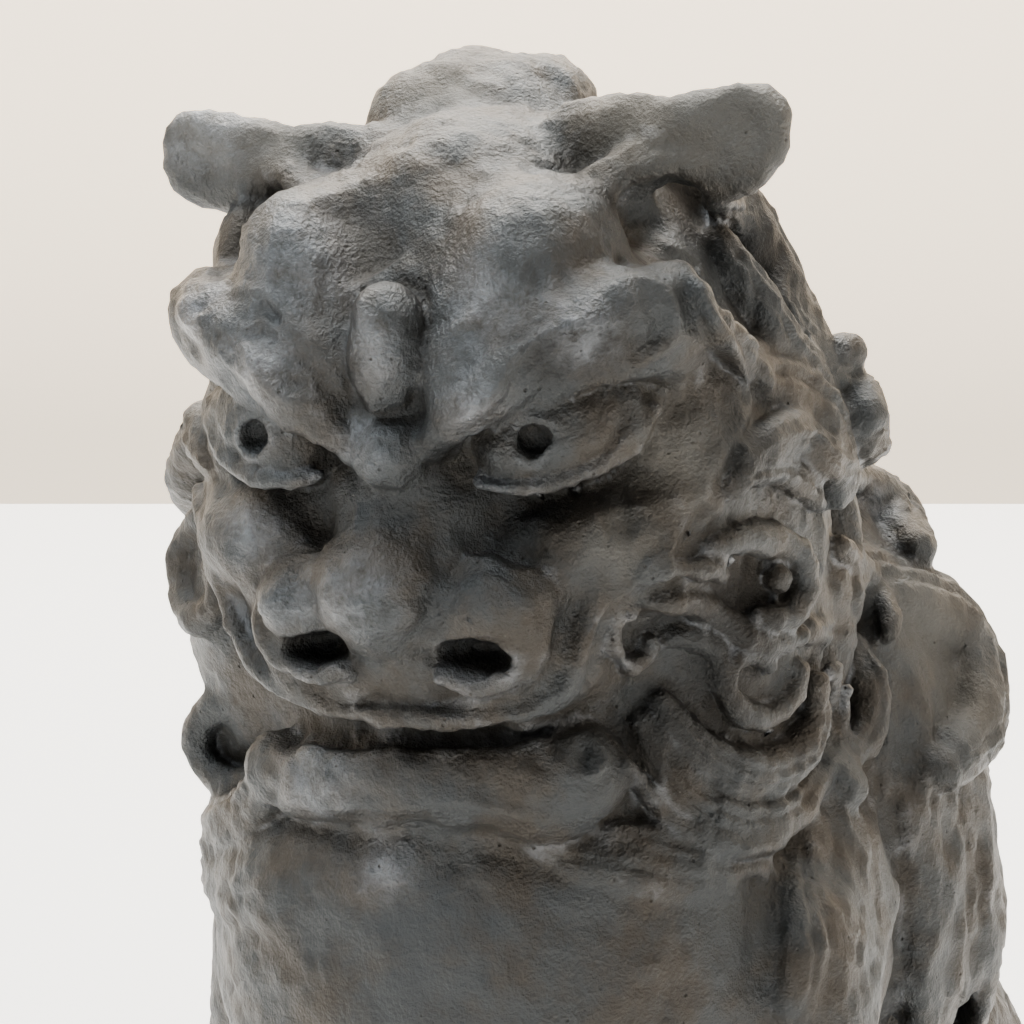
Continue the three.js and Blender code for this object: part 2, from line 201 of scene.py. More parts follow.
@dataclass
class Egg:
    """Ellipsoid.

    Args:
        centre: middle, in frame.
        radii: half-axes.
        frame: the head's or the body's frame.
        reach: how widely it runs into what it meets.
        turn: turns about Y and then Z of the frame, in degrees.
        kind: added or cut out.
    """

    centre: Point
    radii: Point
    frame: Matrix = field(default_factory=lambda: HEAD_FRAME)
    reach: float = 1.0
    turn: Spot = (0, 0)
    kind: Kind = Kind.ADD

    def __post_init__(self) -> None:
        """Works out the place and the way from the row frame to a unit ball."""
        about_y, about_z = (math.radians(a) for a in self.turn)
        spin = Matrix.Rotation(about_y, 4, "Y") @ Matrix.Rotation(about_z, 4, "Z")
        self.place = self.frame @ Matrix.Translation(self.centre) @ spin
        axes = np.array(self.place.to_3x3())
        self.middle = np.array(self.place.translation)
        self.to_unit = axes / np.array(self.radii)
        self.half = np.sqrt(((axes * np.array(self.radii)) ** 2).sum(1))
        self.low, self.high = self.middle - self.half, self.middle + self.half

    def build(self, bm: bmesh.types.BMesh) -> None:
        """Adds its mesh."""
        scale = Matrix.Diagonal((*self.radii, 1))
        bmesh.ops.create_uvsphere(bm, u_segments=24, v_segments=16, radius=1, matrix=self.place @ scale)

    def distance(self, p: np.ndarray) -> np.ndarray:
        """Distance outside it, right near its surface.

        Args:
            p: rows of points in the row frame.

        Returns:
            One distance for each row.
        """
        q = (p - self.middle) @ self.to_unit
        size = np.sqrt((q * q).sum(1))
        steep = np.sqrt(((q / np.array(self.radii)) ** 2).sum(1))
        return size * (size - 1) / np.maximum(steep, 1e-6)


def smooth_line(points: np.ndarray, per_span: int) -> np.ndarray:
    """Points along a smooth line through the rows of points, per_span to each span.

    Args:
        points: rows that it goes through.
        per_span: how many points each span gets.

    Returns:
        The points as rows.
    """
    ends = np.vstack([2 * points[0] - points[1], points, 2 * points[-1] - points[-2]])
    spans = []
    for i in range(len(points) - 1):
        a, b, c, d = ends[i : i + 4]
        t = np.linspace(0, 1, per_span, endpoint=False)[:, None]
        spans.append(
            0.5 * (2 * b + (c - a) * t + (2 * a - 5 * b + 4 * c - d) * t**2 + (3 * b - a - 3 * c + d) * t**3)
        )
    return np.vstack([*spans, points[-1:]])


def spans_from(p: np.ndarray, line: np.ndarray) -> tuple[np.ndarray, np.ndarray, np.ndarray]:
    """Where points lie beside each span of a line.

    Args:
        p: rows of points in the row frame.
        line: stations of the line as rows.

    Returns:
        The spans, the share of each at which it comes closest, and its squared distance there.
    """
    step = np.diff(line, axis=0)
    rel = p[:, None, :] - line[None, :-1]
    share = np.clip((rel * step).sum(2) / np.maximum((step * step).sum(1), 1e-9), 0, 1)
    return step, share, ((rel - share[..., None] * step) ** 2).sum(2)


def resampled(rows: np.ndarray, run: np.ndarray, places: np.ndarray) -> np.ndarray:
    """The rows that belong to lengths along a line, read at other lengths."""
    return np.stack([np.interp(places, run, column) for column in rows.T], 1)


@dataclass
class Strand:
    """Round or flattened strand along a smooth line, rounded off at its ends.

    Args:
        points: places on its middle line, in the row frame.
        radii: half-widths at even stations.
        outs: which way its face looks, one row for each point.
        flat: its thickness over its width.
        reach: how widely it runs into what it meets.
        grooves: places of grooves along it, as shares of its half-width to one side.
        depth: depth of those grooves.
        groove_width: their width, as a share of its half-width.
        kind: added or cut out.
    """

    points: np.ndarray
    radii: Sequence[float]
    outs: np.ndarray
    flat: float = 1.0
    reach: float = 1.0
    grooves: Sequence[float] = ()
    depth: float = 0.4
    groove_width: float = 0.2
    kind: Kind = Kind.ADD

    def __post_init__(self) -> None:
        """Works out stations along the line, with their half-widths and faces."""
        per_span = max(2, 18 // (len(self.points) - 1))
        line = smooth_line(np.asarray(self.points, float), per_span)
        outs = smooth_line(np.asarray(self.outs, float), per_span)
        share = np.linspace(0, 1, len(line))
        radii = np.interp(share, np.linspace(0, 1, len(self.radii)), self.radii)
        run = np.concatenate([[0], np.cumsum(np.linalg.norm(np.diff(line, axis=0), axis=1))])
        # the ends are drawn in, so that the rounded strand ends at its first and last point
        kept = np.linspace(min(radii[0], run[-1] * 0.4), run[-1] - min(radii[-1], run[-1] * 0.4), len(line))
        self.line = resampled(line, run, kept)
        self.width = np.interp(kept, run, radii)
        ahead = unit(np.gradient(self.line, axis=0))
        out = resampled(outs, run, kept)
        self.out = unit(out - (out * ahead).sum(1, keepdims=True) * ahead)
        self.across = np.cross(ahead, self.out)
        self.low = (self.line - self.width[:, None]).min(0)
        self.high = (self.line + self.width[:, None]).max(0)

    def build(self, bm: bmesh.types.BMesh) -> None:
        """Adds its mesh: a ball drawn out along the line.

        Args:
            bm: what it is added to.
        """
        made = bmesh.ops.create_uvsphere(bm, u_segments=10, v_segments=12, radius=1)["verts"]
        last = len(self.line) - 1
        for v in made:
            place = (v.co.z + 1) / 2 * last
            i = min(int(place), last - 1)
            t = place - i
            ring = math.hypot(v.co.x, v.co.y)
            middle = self.line[i] * (1 - t) + self.line[i + 1] * t
            width = (self.width[i] * (1 - t) + self.width[i + 1] * t) * min(1.0, ring * 2.2)
            if ring > 1e-6:
                middle = middle + self.across[i] * (width * v.co.x / ring)
                middle = middle + self.out[i] * (width * self.flat * v.co.y / ring)
            v.co = middle

    def distance(self, p: np.ndarray) -> np.ndarray:
        """Distance outside it, right near its surface.

        Args:
            p: rows of points in the row frame.

        Returns:
            One distance for each row.
        """
        step, h, square = spans_from(p, self.line)
        away = np.sqrt(square)
        widths = self.width[:-1] + h * np.diff(self.width)
        k = np.argmin(away - widths, axis=1)
        rows = np.arange(len(p))
        t = h[rows, k]
        r = widths[rows, k]
        v = p - (self.line[k] + t[:, None] * step[k])
        out = self.out[k] * (1 - t)[:, None] + self.out[k + 1] * t[:, None]
        high = (v * out).sum(1)
        wide = np.sqrt(np.maximum((v * v).sum(1) - high * high, 0))
        q, w = wide / r, high / (r * self.flat)
        size = np.hypot(q, w)
        away_from = size * (size - 1) / np.maximum(np.hypot(q / r, w / (r * self.flat)), 1e-6)
        if self.grooves:
            x = (v * self.across[k]).sum(1) / r
            along = (k + t) / len(step)
            fade = np.clip(np.minimum(along, 1 - along) * 7, 0, 1)
            cut = sum(np.exp(-(((x - g) / self.groove_width) ** 2)) for g in self.grooves)
            away_from = away_from + self.depth * cut * fade
        return away_from


@dataclass
class Stroke:
    """Tool mark drawn over the surface: a groove, or a ridge where its depth is negative.

    Args:
        points: places on the surface, in the row frame.
        width: half-width.
        depth: depth in the middle.
    """

    points: np.ndarray
    width: float
    depth: float

    def __post_init__(self) -> None:
        """Works out stations along the line."""
        self.line = smooth_line(np.asarray(self.points, float), 5)
        self.low, self.high = self.line.min(0), self.line.max(0)
        self.reach = 2 * self.width

    def change(self, p: np.ndarray) -> np.ndarray:
        """How much lower the surface is at p.

        Args:
            p: rows of points in the row frame.

        Returns:
            One depth for each row.
        """
        step, h, away = spans_from(p, self.line)
        k = np.argmin(away, axis=1)
        rows = np.arange(len(p))
        along = (k + h[rows, k]) / len(step)
        fade = np.clip(np.minimum(along, 1 - along) * 6 + 0.15, 0, 1)
        return self.depth * fade * np.exp(-away[rows, k] / self.width**2)


@dataclass
class Wobble:
    """Smooth unevenness of hand-made clay, as a sum of waves in all directions.

    Args:
        height: how far it moves the surface.
        longest, shortest: lengths of the waves.
        waves: how many there are.
        seed: which unevenness it is.
    """

    height: float
    longest: float
    shortest: float
    waves: int = 36
    seed: int = 5

    def change(self, p: np.ndarray) -> np.ndarray:
        """How much lower the surface is at p.

        Args:
            p: rows of points in the row frame.

        Returns:
            One depth for each row.
        """
        rng = np.random.default_rng(self.seed)
        ways = unit(rng.normal(size=(self.waves, 3)))
        lengths = np.exp(rng.uniform(math.log(self.shortest), math.log(self.longest), self.waves))
        phases = rng.uniform(0, 2 * math.pi, self.waves)
        total = np.sin(p @ (ways * (2 * math.pi / lengths)[:, None]).T + phases).sum(1)
        return self.height * total / math.sqrt(self.waves / 2)


class Shelf:
    """Shapes with their boxes, so that those near a neighbourhood are found at once."""

    def __init__(self, shapes: Sequence) -> None:
        """Keeps the shapes and the boxes that they reach into.

        Args:
            shapes: what is kept.
        """
        self.shapes = list(shapes)
        self.lows = np.array([s.low - s.reach for s in shapes]).reshape(-1, 3)
        self.highs = np.array([s.high + s.reach for s in shapes]).reshape(-1, 3)

    def near(self, low: np.ndarray, high: np.ndarray) -> list:
        """The shapes that reach into a box, in their order."""
        found = ((self.lows < high) & (self.highs > low)).all(1)
        return [self.shapes[i] for i in np.flatnonzero(found)]


def blocks(p: np.ndarray, size: float = 14.0) -> list[np.ndarray]:
    """Rows of p gathered into small neighbourhoods, so that far shapes can be skipped.

    Args:
        p: rows of points.
        size: side of a neighbourhood.

    Returns:
        The row numbers in each neighbourhood.
    """
    cell = np.floor(p / size).astype(np.int64) + 64
    key = (cell[:, 0] * 256 + cell[:, 1]) * 256 + cell[:, 2]
    order = np.argsort(key, kind="stable")
    return np.split(order, np.flatnonzero(np.diff(key[order])) + 1)


@dataclass
class Group:
    """Shapes that are modelled together before they join the rest.

    Args:
        shapes: eggs and strands in the order they are worked.
        join: how widely the group runs into the others.
    """

    shapes: list[Egg | Strand] = field(default_factory=list)
    join: float = 1.5

    def depth(self, p: np.ndarray, near: Sequence[Egg | Strand]) -> np.ndarray:
        """Distance of p outside those shapes of the group that are near.

        Args:
            p: rows of points in the row frame.
            near: the shapes that count.

        Returns:
            One distance for each row.
        """
        f = np.full(len(p), FAR)
        for shape in near:
            if shape.kind is Kind.ADD:
                f = smooth_min(f, shape.distance(p), shape.reach)
            else:
                f = -smooth_min(-f, shape.distance(p), shape.reach)
        return f


@dataclass
class Clay:
    """The whole figure as clay, before it is cast.

    Args:
        groups: what it is built of.
        marks: tool marks drawn over it.
        cuts: hollows cut through all groups.
        skin: unevenness of its skin.
        stray: how far off the surface a line may pass and still hold its place.
        stride: how far a vertex settles at once.
        pace: share of its distance that it settles.
    """

    groups: list[Group] = field(default_factory=list)
    marks: list[Stroke] = field(default_factory=list)
    cuts: list[Egg | Strand] = field(default_factory=list)
    skin: list[Wobble] = field(default_factory=list)
    stray: float = 2.5
    stride: float = 1.5
    pace: float = 0.85

    def depth(self, p: np.ndarray, margin: float = 3.0, marks: bool = True) -> np.ndarray:
        """Distance of p outside the clay.

        Args:
            p: rows of points in the row frame.
            margin: how far from the surface the answer has to hold.
            marks: whether tool marks and unevenness count.

        Returns:
            One distance for each row.
        """
        shelves = [Shelf(group.shapes) for group in self.groups]
        cuts, drawn = Shelf(self.cuts), Shelf(self.marks if marks else [])
        f = np.empty(len(p))
        for row in blocks(p) if margin < WIDE else [np.arange(len(p))]:
            here = p[row]
            box = here.min(0) - margin, here.max(0) + margin
            d = np.full(len(here), FAR)
            for group, shelf in zip(self.groups, shelves):
                near = shelf.near(*box)
                if near:
                    d = smooth_min(d, group.depth(here, near), group.join)
            for cut in cuts.near(*box):
                d = -smooth_min(-d, cut.distance(here), cut.reach)
            for mark in drawn.near(*box):
                d = d + mark.change(here)
            f[row] = d
        if marks:
            for uneven in self.skin:
                f += uneven.change(p)
        return f

    def touch(self, lines: Sequence[Rays]) -> list[tuple[np.ndarray, np.ndarray]]:
        """Where lines first meet the surface without its marks, or pass it closest.

        Args:
            lines: sets of lines.

        Returns:
            For each set, the places and the way out of the surface at each.
        """
        starts = np.vstack([rays.starts for rays in lines])
        ahead = np.vstack([rays.ahead for rays in lines])
        t = np.zeros(len(starts))
        least, place = np.full(len(starts), FAR), t.copy()
        for _ in range(SEEK_STEPS):
            away = self.depth(starts + t[:, None] * ahead, WIDE, False)
            nearer = away < least
            least[nearer], place[nearer] = away[nearer], t[nearer]
            t = np.minimum(t + SEEK_PACE * away, SEEK_END)
        p = starts + place[:, None] * ahead
        out = self.slope(p)
        p -= np.maximum(least - self.stray, 0)[:, None] * out
        ends = np.cumsum([len(rays.starts) for rays in lines])[:-1]
        return list(zip(np.split(p, ends), np.split(out, ends)))

    def slope(self, p: np.ndarray, step: float = 0.6) -> np.ndarray:
        """The way out of the surface at each row of p.

        Args:
            p: rows of points in the row frame.
            step: how far to each side it is measured.

        Returns:
            One direction for each row.
        """
        moves = np.vstack([np.eye(3), -np.eye(3)]) * step
        f = self.depth((p[None] + moves[:, None]).reshape(-1, 3), 20, False).reshape(6, -1)
        return unit((f[:3] - f[3:]).T)

    def mesh(self, name: str, voxel: float) -> bpy.types.Mesh:
        """One closed mesh round all that is added, before it is blended and cut.

        Args:
            name: the mesh's name.
            voxel: size of its faces.

        Returns:
            The mesh.
        """
        joined = bmesh.new()
        for shape in (shape for group in self.groups for shape in group.shapes):
            if shape.kind is Kind.ADD:
                bm = bmesh.new()
                shape.build(bm)
                single = finished(bm, name)
                joined.from_mesh(single)
                bpy.data.meshes.remove(single)
        return remeshed(finished(joined, name), voxel)

    def settle(self, mesh: bpy.types.Mesh, passes: int, marks: bool = True) -> None:
        """Moves the mesh's vertices onto the clay's surface.

        Args:
            mesh: what is settled.
            passes: how often its vertices move.
            marks: whether tool marks and unevenness count.
        """
        for _ in range(passes):
            p = corners_of(mesh)
            step = np.clip(self.depth(p, 3.0, marks), -self.stride, self.stride)
            move_corners(mesh, p - (self.pace * step)[:, None] * outs_of(mesh))


def finished(bm: bmesh.types.BMesh, name: str) -> bpy.types.Mesh:
    """The mesh made of a bmesh.

    Args:
        bm: what it is made of. It is freed.
        name: the mesh's name.

    Returns:
        The mesh.
    """
    mesh = bpy.data.meshes.new(name)
    bm.to_mesh(mesh)
    bm.free()
    return mesh


def shown(name: str, data: bpy.types.ID) -> bpy.types.Object:
    """A new object of the scene.

    Args:
        name: its name.
        data: the mesh, light or camera that it shows.

    Returns:
        The object.
    """
    obj = bpy.data.objects.new(name, data)
    bpy.context.scene.collection.objects.link(obj)
    return obj


def rows_of(items: bpy.types.bpy_prop_collection, name: str) -> np.ndarray:
    """One property of each item as rows of three.

    Args:
        items: a mesh's vertices or the normals at them.
        name: the property.

    Returns:
        One row for each item.
    """
    values = np.empty(len(items) * 3, np.float32)
    items.foreach_get(name, values)
    return values.reshape(-1, 3).astype(float)


def corners_of(mesh: bpy.types.Mesh) -> np.ndarray:
    """The places of a mesh's vertices as rows."""
    return rows_of(mesh.vertices, "co")


def outs_of(mesh: bpy.types.Mesh) -> np.ndarray:
    """The ways out of a mesh at its vertices as rows."""
    return rows_of(mesh.vertex_normals, "vector")


def move_corners(mesh: bpy.types.Mesh, p: np.ndarray) -> None:
    """Moves a mesh's vertices to the rows of p."""
    mesh.vertices.foreach_set("co", p.astype(np.float32).ravel())
    mesh.update()


def applied(mesh: bpy.types.Mesh, kind: str, **settings: object) -> bpy.types.Mesh:
    """The mesh with one modifier applied.

    Args:
        mesh: what the modifier works on. It is removed.
        kind: the modifier's type.
        settings: its settings.

    Returns:
        The new mesh.
    """
    obj = shown("work", mesh)
    modifier = obj.modifiers.new("work", kind)
    for key, value in settings.items():
        setattr(modifier, key, value)
    graph = bpy.context.evaluated_depsgraph_get()
    made = bpy.data.meshes.new_from_object(obj.evaluated_get(graph), depsgraph=graph)
    bpy.data.objects.remove(obj)
    bpy.data.meshes.remove(mesh)
    return made


def remeshed(mesh: bpy.types.Mesh, voxel: float) -> bpy.types.Mesh:
    """The outside of a mesh as even quads of about the size voxel."""
    return applied(mesh, "REMESH", mode="VOXEL", voxel_size=voxel, adaptivity=0.0, use_smooth_shade=True)


def whole(mesh: bpy.types.Mesh) -> bpy.types.Mesh:
    """The largest connected part of a mesh, without loose crumbs and closed bubbles.

    Args:
        mesh: what is looked through. It is removed if it has crumbs.

    Returns:
        The mesh, or a new one without its crumbs.
    """
    ends = np.empty(len(mesh.edges) * 2, np.int32)
    mesh.edges.foreach_get("vertices", ends)
    a, b = ends.reshape(-1, 2).T
    label = np.arange(len(mesh.vertices))
    while True:
        least = label.copy()
        np.minimum.at(least, a, label[b])
        np.minimum.at(least, b, label[a])
        least = least[least]
        if (least == label).all():
            break
        label = least
    kept = np.bincount(label).argmax()
    if (label == kept).all():
        return mesh
    bm = bmesh.new()
    bm.from_mesh(mesh)
    bpy.data.meshes.remove(mesh)
    loose = [v for v in bm.verts if label[v.index] != kept]
    bmesh.ops.delete(bm, geom=loose, context="VERTS")
    return finished(bm, "whole")


def pair(make: Callable[[int], list]) -> list:
    """What make gives for the figure's left side and for its right side."""
    return [shape for side in SIDES for shape in make(side)]


def hubbed(
    points: Sequence[Point], frame: Matrix, hub: Point, radii: Sequence[float], **more: object
) -> Strand:
    """Strand through places of a frame, its face turned away from the point hub.

    Args:
        points: places on its middle line.
        frame: the head's or the body's frame, for the places and the hub.
        hub: the point that its face is turned away from.
        radii: half-widths at even stations.
        more: other settings of the strand.

    Returns:
        The strand.
    """
    line = placed(points, frame)
    outs = unit(line - placed([hub], frame))
    return Strand(line, radii, outs, **more)


@dataclass
class Laid:
    """Shape or tool mark that is laid on the clay where its lines meet it.

    Args:
        rays: lines along which its places are looked for.
        make: makes it from the places and the ways out of the surface there.
    """

    rays: Rays
    make: Callable[[np.ndarray, np.ndarray], object]


def laid(clay: Clay, wanted: Sequence[Laid]) -> list:
    """Lays shapes or tool marks on the clay, all on its surface as it is now."""
    found = clay.touch([one.rays for one in wanted])
    return [one.make(at, out) for one, (at, out) in zip(wanted, found)]


def mark_seen(spots: Sequence[Spot], width: float, depth: float) -> Laid:
    """Tool mark through places seen: a groove, or a ridge where depth is negative."""
    return Laid(seen(spots), lambda at, out: Stroke(at, width, depth))


def lock(rays: Rays, widths: Sequence[float], lifts: Sequence[float] = (0.5, 1.5), **more: object) -> Laid:
    """Lock of hair laid on the clay, with its middle line lifted off it.

    Args:
        rays: lines along which its places are looked for.
        widths: half-widths at even stations.
        lifts: how far it stands off, at even stations.
        more: other settings of the strand.

    Returns:
        The lock, to be laid.
    """

    def make(at: np.ndarray, out: np.ndarray) -> Strand:
        """Strand above the places."""
        lift = np.interp(np.linspace(0, 1, len(at)), np.linspace(0, 1, len(lifts)), lifts)
        return Strand(at + lift[:, None] * out, widths, out, **{"reach": 1.3, **more})

    return Laid(rays, make)


def bead(spot: Spot, radius: float, lift: float) -> Laid:
    """Round bead laid where it is seen.

    Args:
        spot: where it is seen.
        radius: its radius.
        lift: how far its middle stands off the clay.

    Returns:
        The bead, to be laid.
    """

    def make(at: np.ndarray, out: np.ndarray) -> Egg:
        """Ball above the place."""
        centre = placed(at + lift * out, BODY_FRAME.inverted())[0]
        return Egg(tuple(centre), (radius,) * 3, BODY_FRAME, reach=1.0)

    return Laid(seen([spot]), make)


@dataclass
class Head:
    """Skull, face, ears and horn.

    Args:
        reach: how widely its masses run into each other.
        frame: the head's frame.
        coat: middle and half-axes of the body of the mane.
        front: what the forms of the face are turned away from.
        irises: middle, half-width and half-height of each iris, as seen.
        tool_marks: marks of the face, as seen.
    """

    reach: float = 4.0
    frame: Matrix = field(default_factory=lambda: HEAD_FRAME)
    coat: tuple[Point, Point] = ((0, 8, -6), (33.5, 32, 50))
    front: Point = (0, 8, 0)

    irises: Sequence[tuple[float, float, float, float]] = ((2.6, 8.4, 2.3, 2.3), (-28.8, 8.4, 2.0, 2.4))
    tool_marks: Sequence[Mark] = (
        # flames of the brow on the figure's left
        ([(-8.1, 9.4), (-4.9, 11), (-2.2, 12.8), (-0.8, 15.7), (0.7, 17.9), (3.4, 19.7), (7.1, 21.3),
            (9.9, 22)], 0.75, -0.9),
        ([(0.9, 14.8), (3.7, 17.7), (6.7, 19.6), (9.9, 21.1), (11.9, 22)], 0.6, -0.6),
        ([(-4.7, 9), (-0.8, 12.1), (1.3, 15.7), (4, 18.1)], 0.8, 0.6),
        ([(-1.3, 9.6), (2.6, 12.3), (7.1, 15), (12.1, 16.8), (15.5, 17.9)], 0.8, 0.5),
        ([(9.9, 24.6), (13.8, 26.2), (17, 24.9), (18.5, 21.7), (17.5, 18.7), (14.3, 16.8)], 0.7, -0.6),
        ([(14.3, 23.7), (16, 21.7), (15.5, 19.5), (13.4, 18.4)], 0.7, 0.6),
        # folds round the eye on the figure's left
        ([(9.3, 15.2), (12.1, 15.7), (15.5, 15.9)], 0.45, 0.5),
        ([(11.2, 14.2), (12.5, 12), (12.1, 9.2), (10.1, 6.5), (7.1, 4.9), (3.1, 3.9), (-1.9, 3.7),
            (-8.1, 3.4)], 0.5, 0.6),
        ([(14.9, 14.2), (15.2, 11.4), (14.3, 8.1), (11.5, 4.9)], 0.6, 0.4),
        # brow and eye on its right
        ([(-19.8, 12), (-23.7, 12.3), (-26.5, 13.1), (-28.8, 15.9), (-30.5, 18.7)], 0.7, -0.7),
        ([(-34.4, 22.4), (-35.4, 21.1), (-36.5, 21.5), (-37.1, 23.7)], 0.5, -0.6),
        ([(-34.9, 23.7), (-35.4, 22.4)], 0.9, 0.7),
        ([(-34.4, 12.5), (-34.7, 8.1), (-33.6, 4.7), (-31.6, 2.2)], 0.8, 0.6),
        # furrow between the bosses of the forehead, and folds towards the ear
        ([(-20.2, 35.8), (-17.9, 32.3), (-15.9, 29.1), (-14.8, 27.1)], 3.2, 1.9),
        ([(-8.1, 22.6), (-4.7, 18.7), (-3.6, 15.9)], 1.4, 0.4),
        ([(2, 39.4), (5.4, 38.3), (9.9, 37.6), (12.7, 38.3)], 0.8, 0.5),
        ([(9.9, 30.9), (14.3, 31.4), (17.5, 29.6), (21.1, 26.9), (21.4, 24.9)], 0.7, -0.7),
        ([(8.7, 38.1), (12.3, 39.4), (16, 40.9), (19.9, 41.1), (23.3, 40.3)], 0.7, 0.5),
        ([(14.3, 28), (17.5, 26.9), (19.9, 23.7), (21.1, 19.8)], 1.2, 0.7),
        # rough casting on the brows, the forehead, the muzzle and the chest
        ([(-31.8, 25.1), (-28.4, 24.9), (-25.5, 22.8), (-23.7, 19.7), (-20.8, 18.6)], 0.6, -0.5),
        ([(-30.9, 20.2), (-28.4, 21.3), (-25.8, 19.9), (-24.6, 17.9)], 0.5, -0.45),
        ([(-32.5, 17.5), (-29.8, 18.6), (-27.8, 16.4), (-26.4, 13.9), (-24.6, 12.3)], 0.6, -0.5),
        ([(-28, 23.7), (-26.4, 21.3), (-27.1, 18.1)], 0.6, 0.5),
        ([(-23.7, 17.9), (-21.7, 15.7), (-20.4, 13)], 0.6, 0.45),
        ([(-34, 20.4), (-32, 19), (-31.4, 16.8)], 0.7, 0.5),
        ([(-7.4, 19.9), (-4.7, 21.5), (-1.1, 21.3)], 0.5, -0.35),
        ([(-6.7, 17.5), (-3.4, 18.8), (-0.7, 19.9)], 0.5, 0.35),
        ([(-1.3, 42.6), (3.1, 40.5), (8.3, 39.6)], 0.5, 0.3),
        ([(0.3, 36.7), (5.4, 35.8), (10.3, 36.5)], 0.5, 0.3),
        ([(-17.6, -5.4), (-15.7, -7.1), (-13.1, -6.7)], 0.6, 0.35),
        ([(-23.7, 0), (-21.7, -2), (-21.3, -4.5)], 0.9, 0.5),
        ([(-4.3, -41.7), (-3.1, -43.9), (-2.2, -46.8)], 0.6, 0.4),
        # end of the horn
        ([(3.1, 50), (5.4, 48.2), (6.7, 46.1)], 1.6, 0.9),
        # edge between face and mane
        ([(21.1, 23.7), (24.6, 19.3), (26.4, 13.7), (25.3, 9.4), (22.8, 6), (21.5, 3.6), (21.1, 0.8)], 0.75,
            -0.9),
        ([(19.9, -0.3), (17.9, -4.5), (15.2, -6), (13.4, -8.5), (10.5, -10.8), (8.7, -14.3), (7.4, -18.4)],
            0.6, -0.6),
        ([(21.7, 1.1), (20.6, -1.6), (18.6, -4.5)], 0.8, 0.8),
        # temple, under the eye and beside the nose
        ([(23.5, -1.3), (20.6, -5.6), (17.5, -8.5), (15, -11.2), (12.8, -14.3), (11, -17.9)], 1.9, 0.9),
        ([(21.5, 28), (23.5, 23.7), (26, 18.7), (28, 13.7), (27.8, 9), (25.8, 4.7)], 1.6, 0.8),
        ([(19.9, 7.4), (16.6, 4.7), (12.1, 2.7), (6.5, 1.6), (0.9, 1.1), (-4.7, 1.3)], 2.0, 0.4),
        ([(21.1, 4), (17.5, 1.3), (13.2, -0.2), (8.7, -0.9), (4, -1.1)], 1.6, -0.4),
        ([(10.3, -5.4), (8.1, -8.7), (6, -12.3), (5.4, -16.6)], 1.4, 0.6),
        # nose and cheeks
        ([(-9.2, -8.2), (-6.4, -6.7), (-2.5, -6.3), (0.9, -7.4), (3.4, -10.4), (3.7, -14.3), (1.5, -18.3),
            (-2.5, -20.4)], 0.9, 0.6),
        ([(-0.8, -5.4), (1.1, -4.9), (3.1, -5.6)], 1.4, 0.9),
        ([(9.9, -1.5), (12.1, -1.1), (14.3, -2)], 1.6, 0.9),
        ([(-28.4, -8.7), (-28, -13.2), (-26, -17.1), (-22.6, -19.9), (-19.8, -20.7)], 0.8, 0.5),
        ([(-22, -8.7), (-22.4, -11.2), (-21.5, -13.4)], 0.9, 0.5),
        ([(-9.9, -8.7), (-9.2, -11.2), (-9.6, -14.3)], 1.2, 0.5),
        # inner edge of the upper lip's rim
        ([(-33.4, -5.4), (-30.9, -11.2), (-28.7, -16), (-26.4, -19.9), (-22.6, -21.5), (-12.5, -21.3),
            (-3.6, -22.2), (2, -21.1), (4.9, -18.8), (6.3, -14.9), (7.2, -11.2), (9.4, -7.8)], 0.6, 0.45),
        ([(9, -19.9), (9.4, -15.5), (10.1, -12.1), (12.1, -9.9)], 0.8, 0.9),
        # corner of the jaw
        ([(5.4, -26.2), (7.4, -25.3), (9.9, -26), (10.5, -28), (8.5, -29.6), (6, -28.9), (5.2, -27.1)], 0.5,
            -0.6),
        ([(7.1, -27.4), (8.7, -27.6)], 1.0, 0.7),
        # lower lip
        ([(-23.7, -26.4), (-20.4, -27.3), (-12.5, -27.1), (-3.6, -26.9), (3.1, -26.4)], 0.8, -0.5),
        ([(-24.9, -32.3), (-20.4, -32.9), (-12.5, -33.2), (-6.9, -32.3), (-1.3, -33.6), (5.4, -34.7)], 0.8,
            -0.5),
        ([(-25.3, -26), (-23.7, -28.4), (-23.1, -31.4)], 0.9, 0.6),
        ([(-4.7, -28.2), (-3.1, -30.7), (-2.9, -33.2)], 0.9, 0.45),
        ([(-20.4, -29.1), (-18.1, -31.1), (-15.7, -31.6)], 0.5, 0.35),
        ([(0.9, -27.8), (2.5, -30.5), (1.8, -32.9)], 0.7, -0.4),
        ([(-28, -26.9), (-26.2, -29.8), (-26.9, -32.3)], 0.8, 0.5),
    )

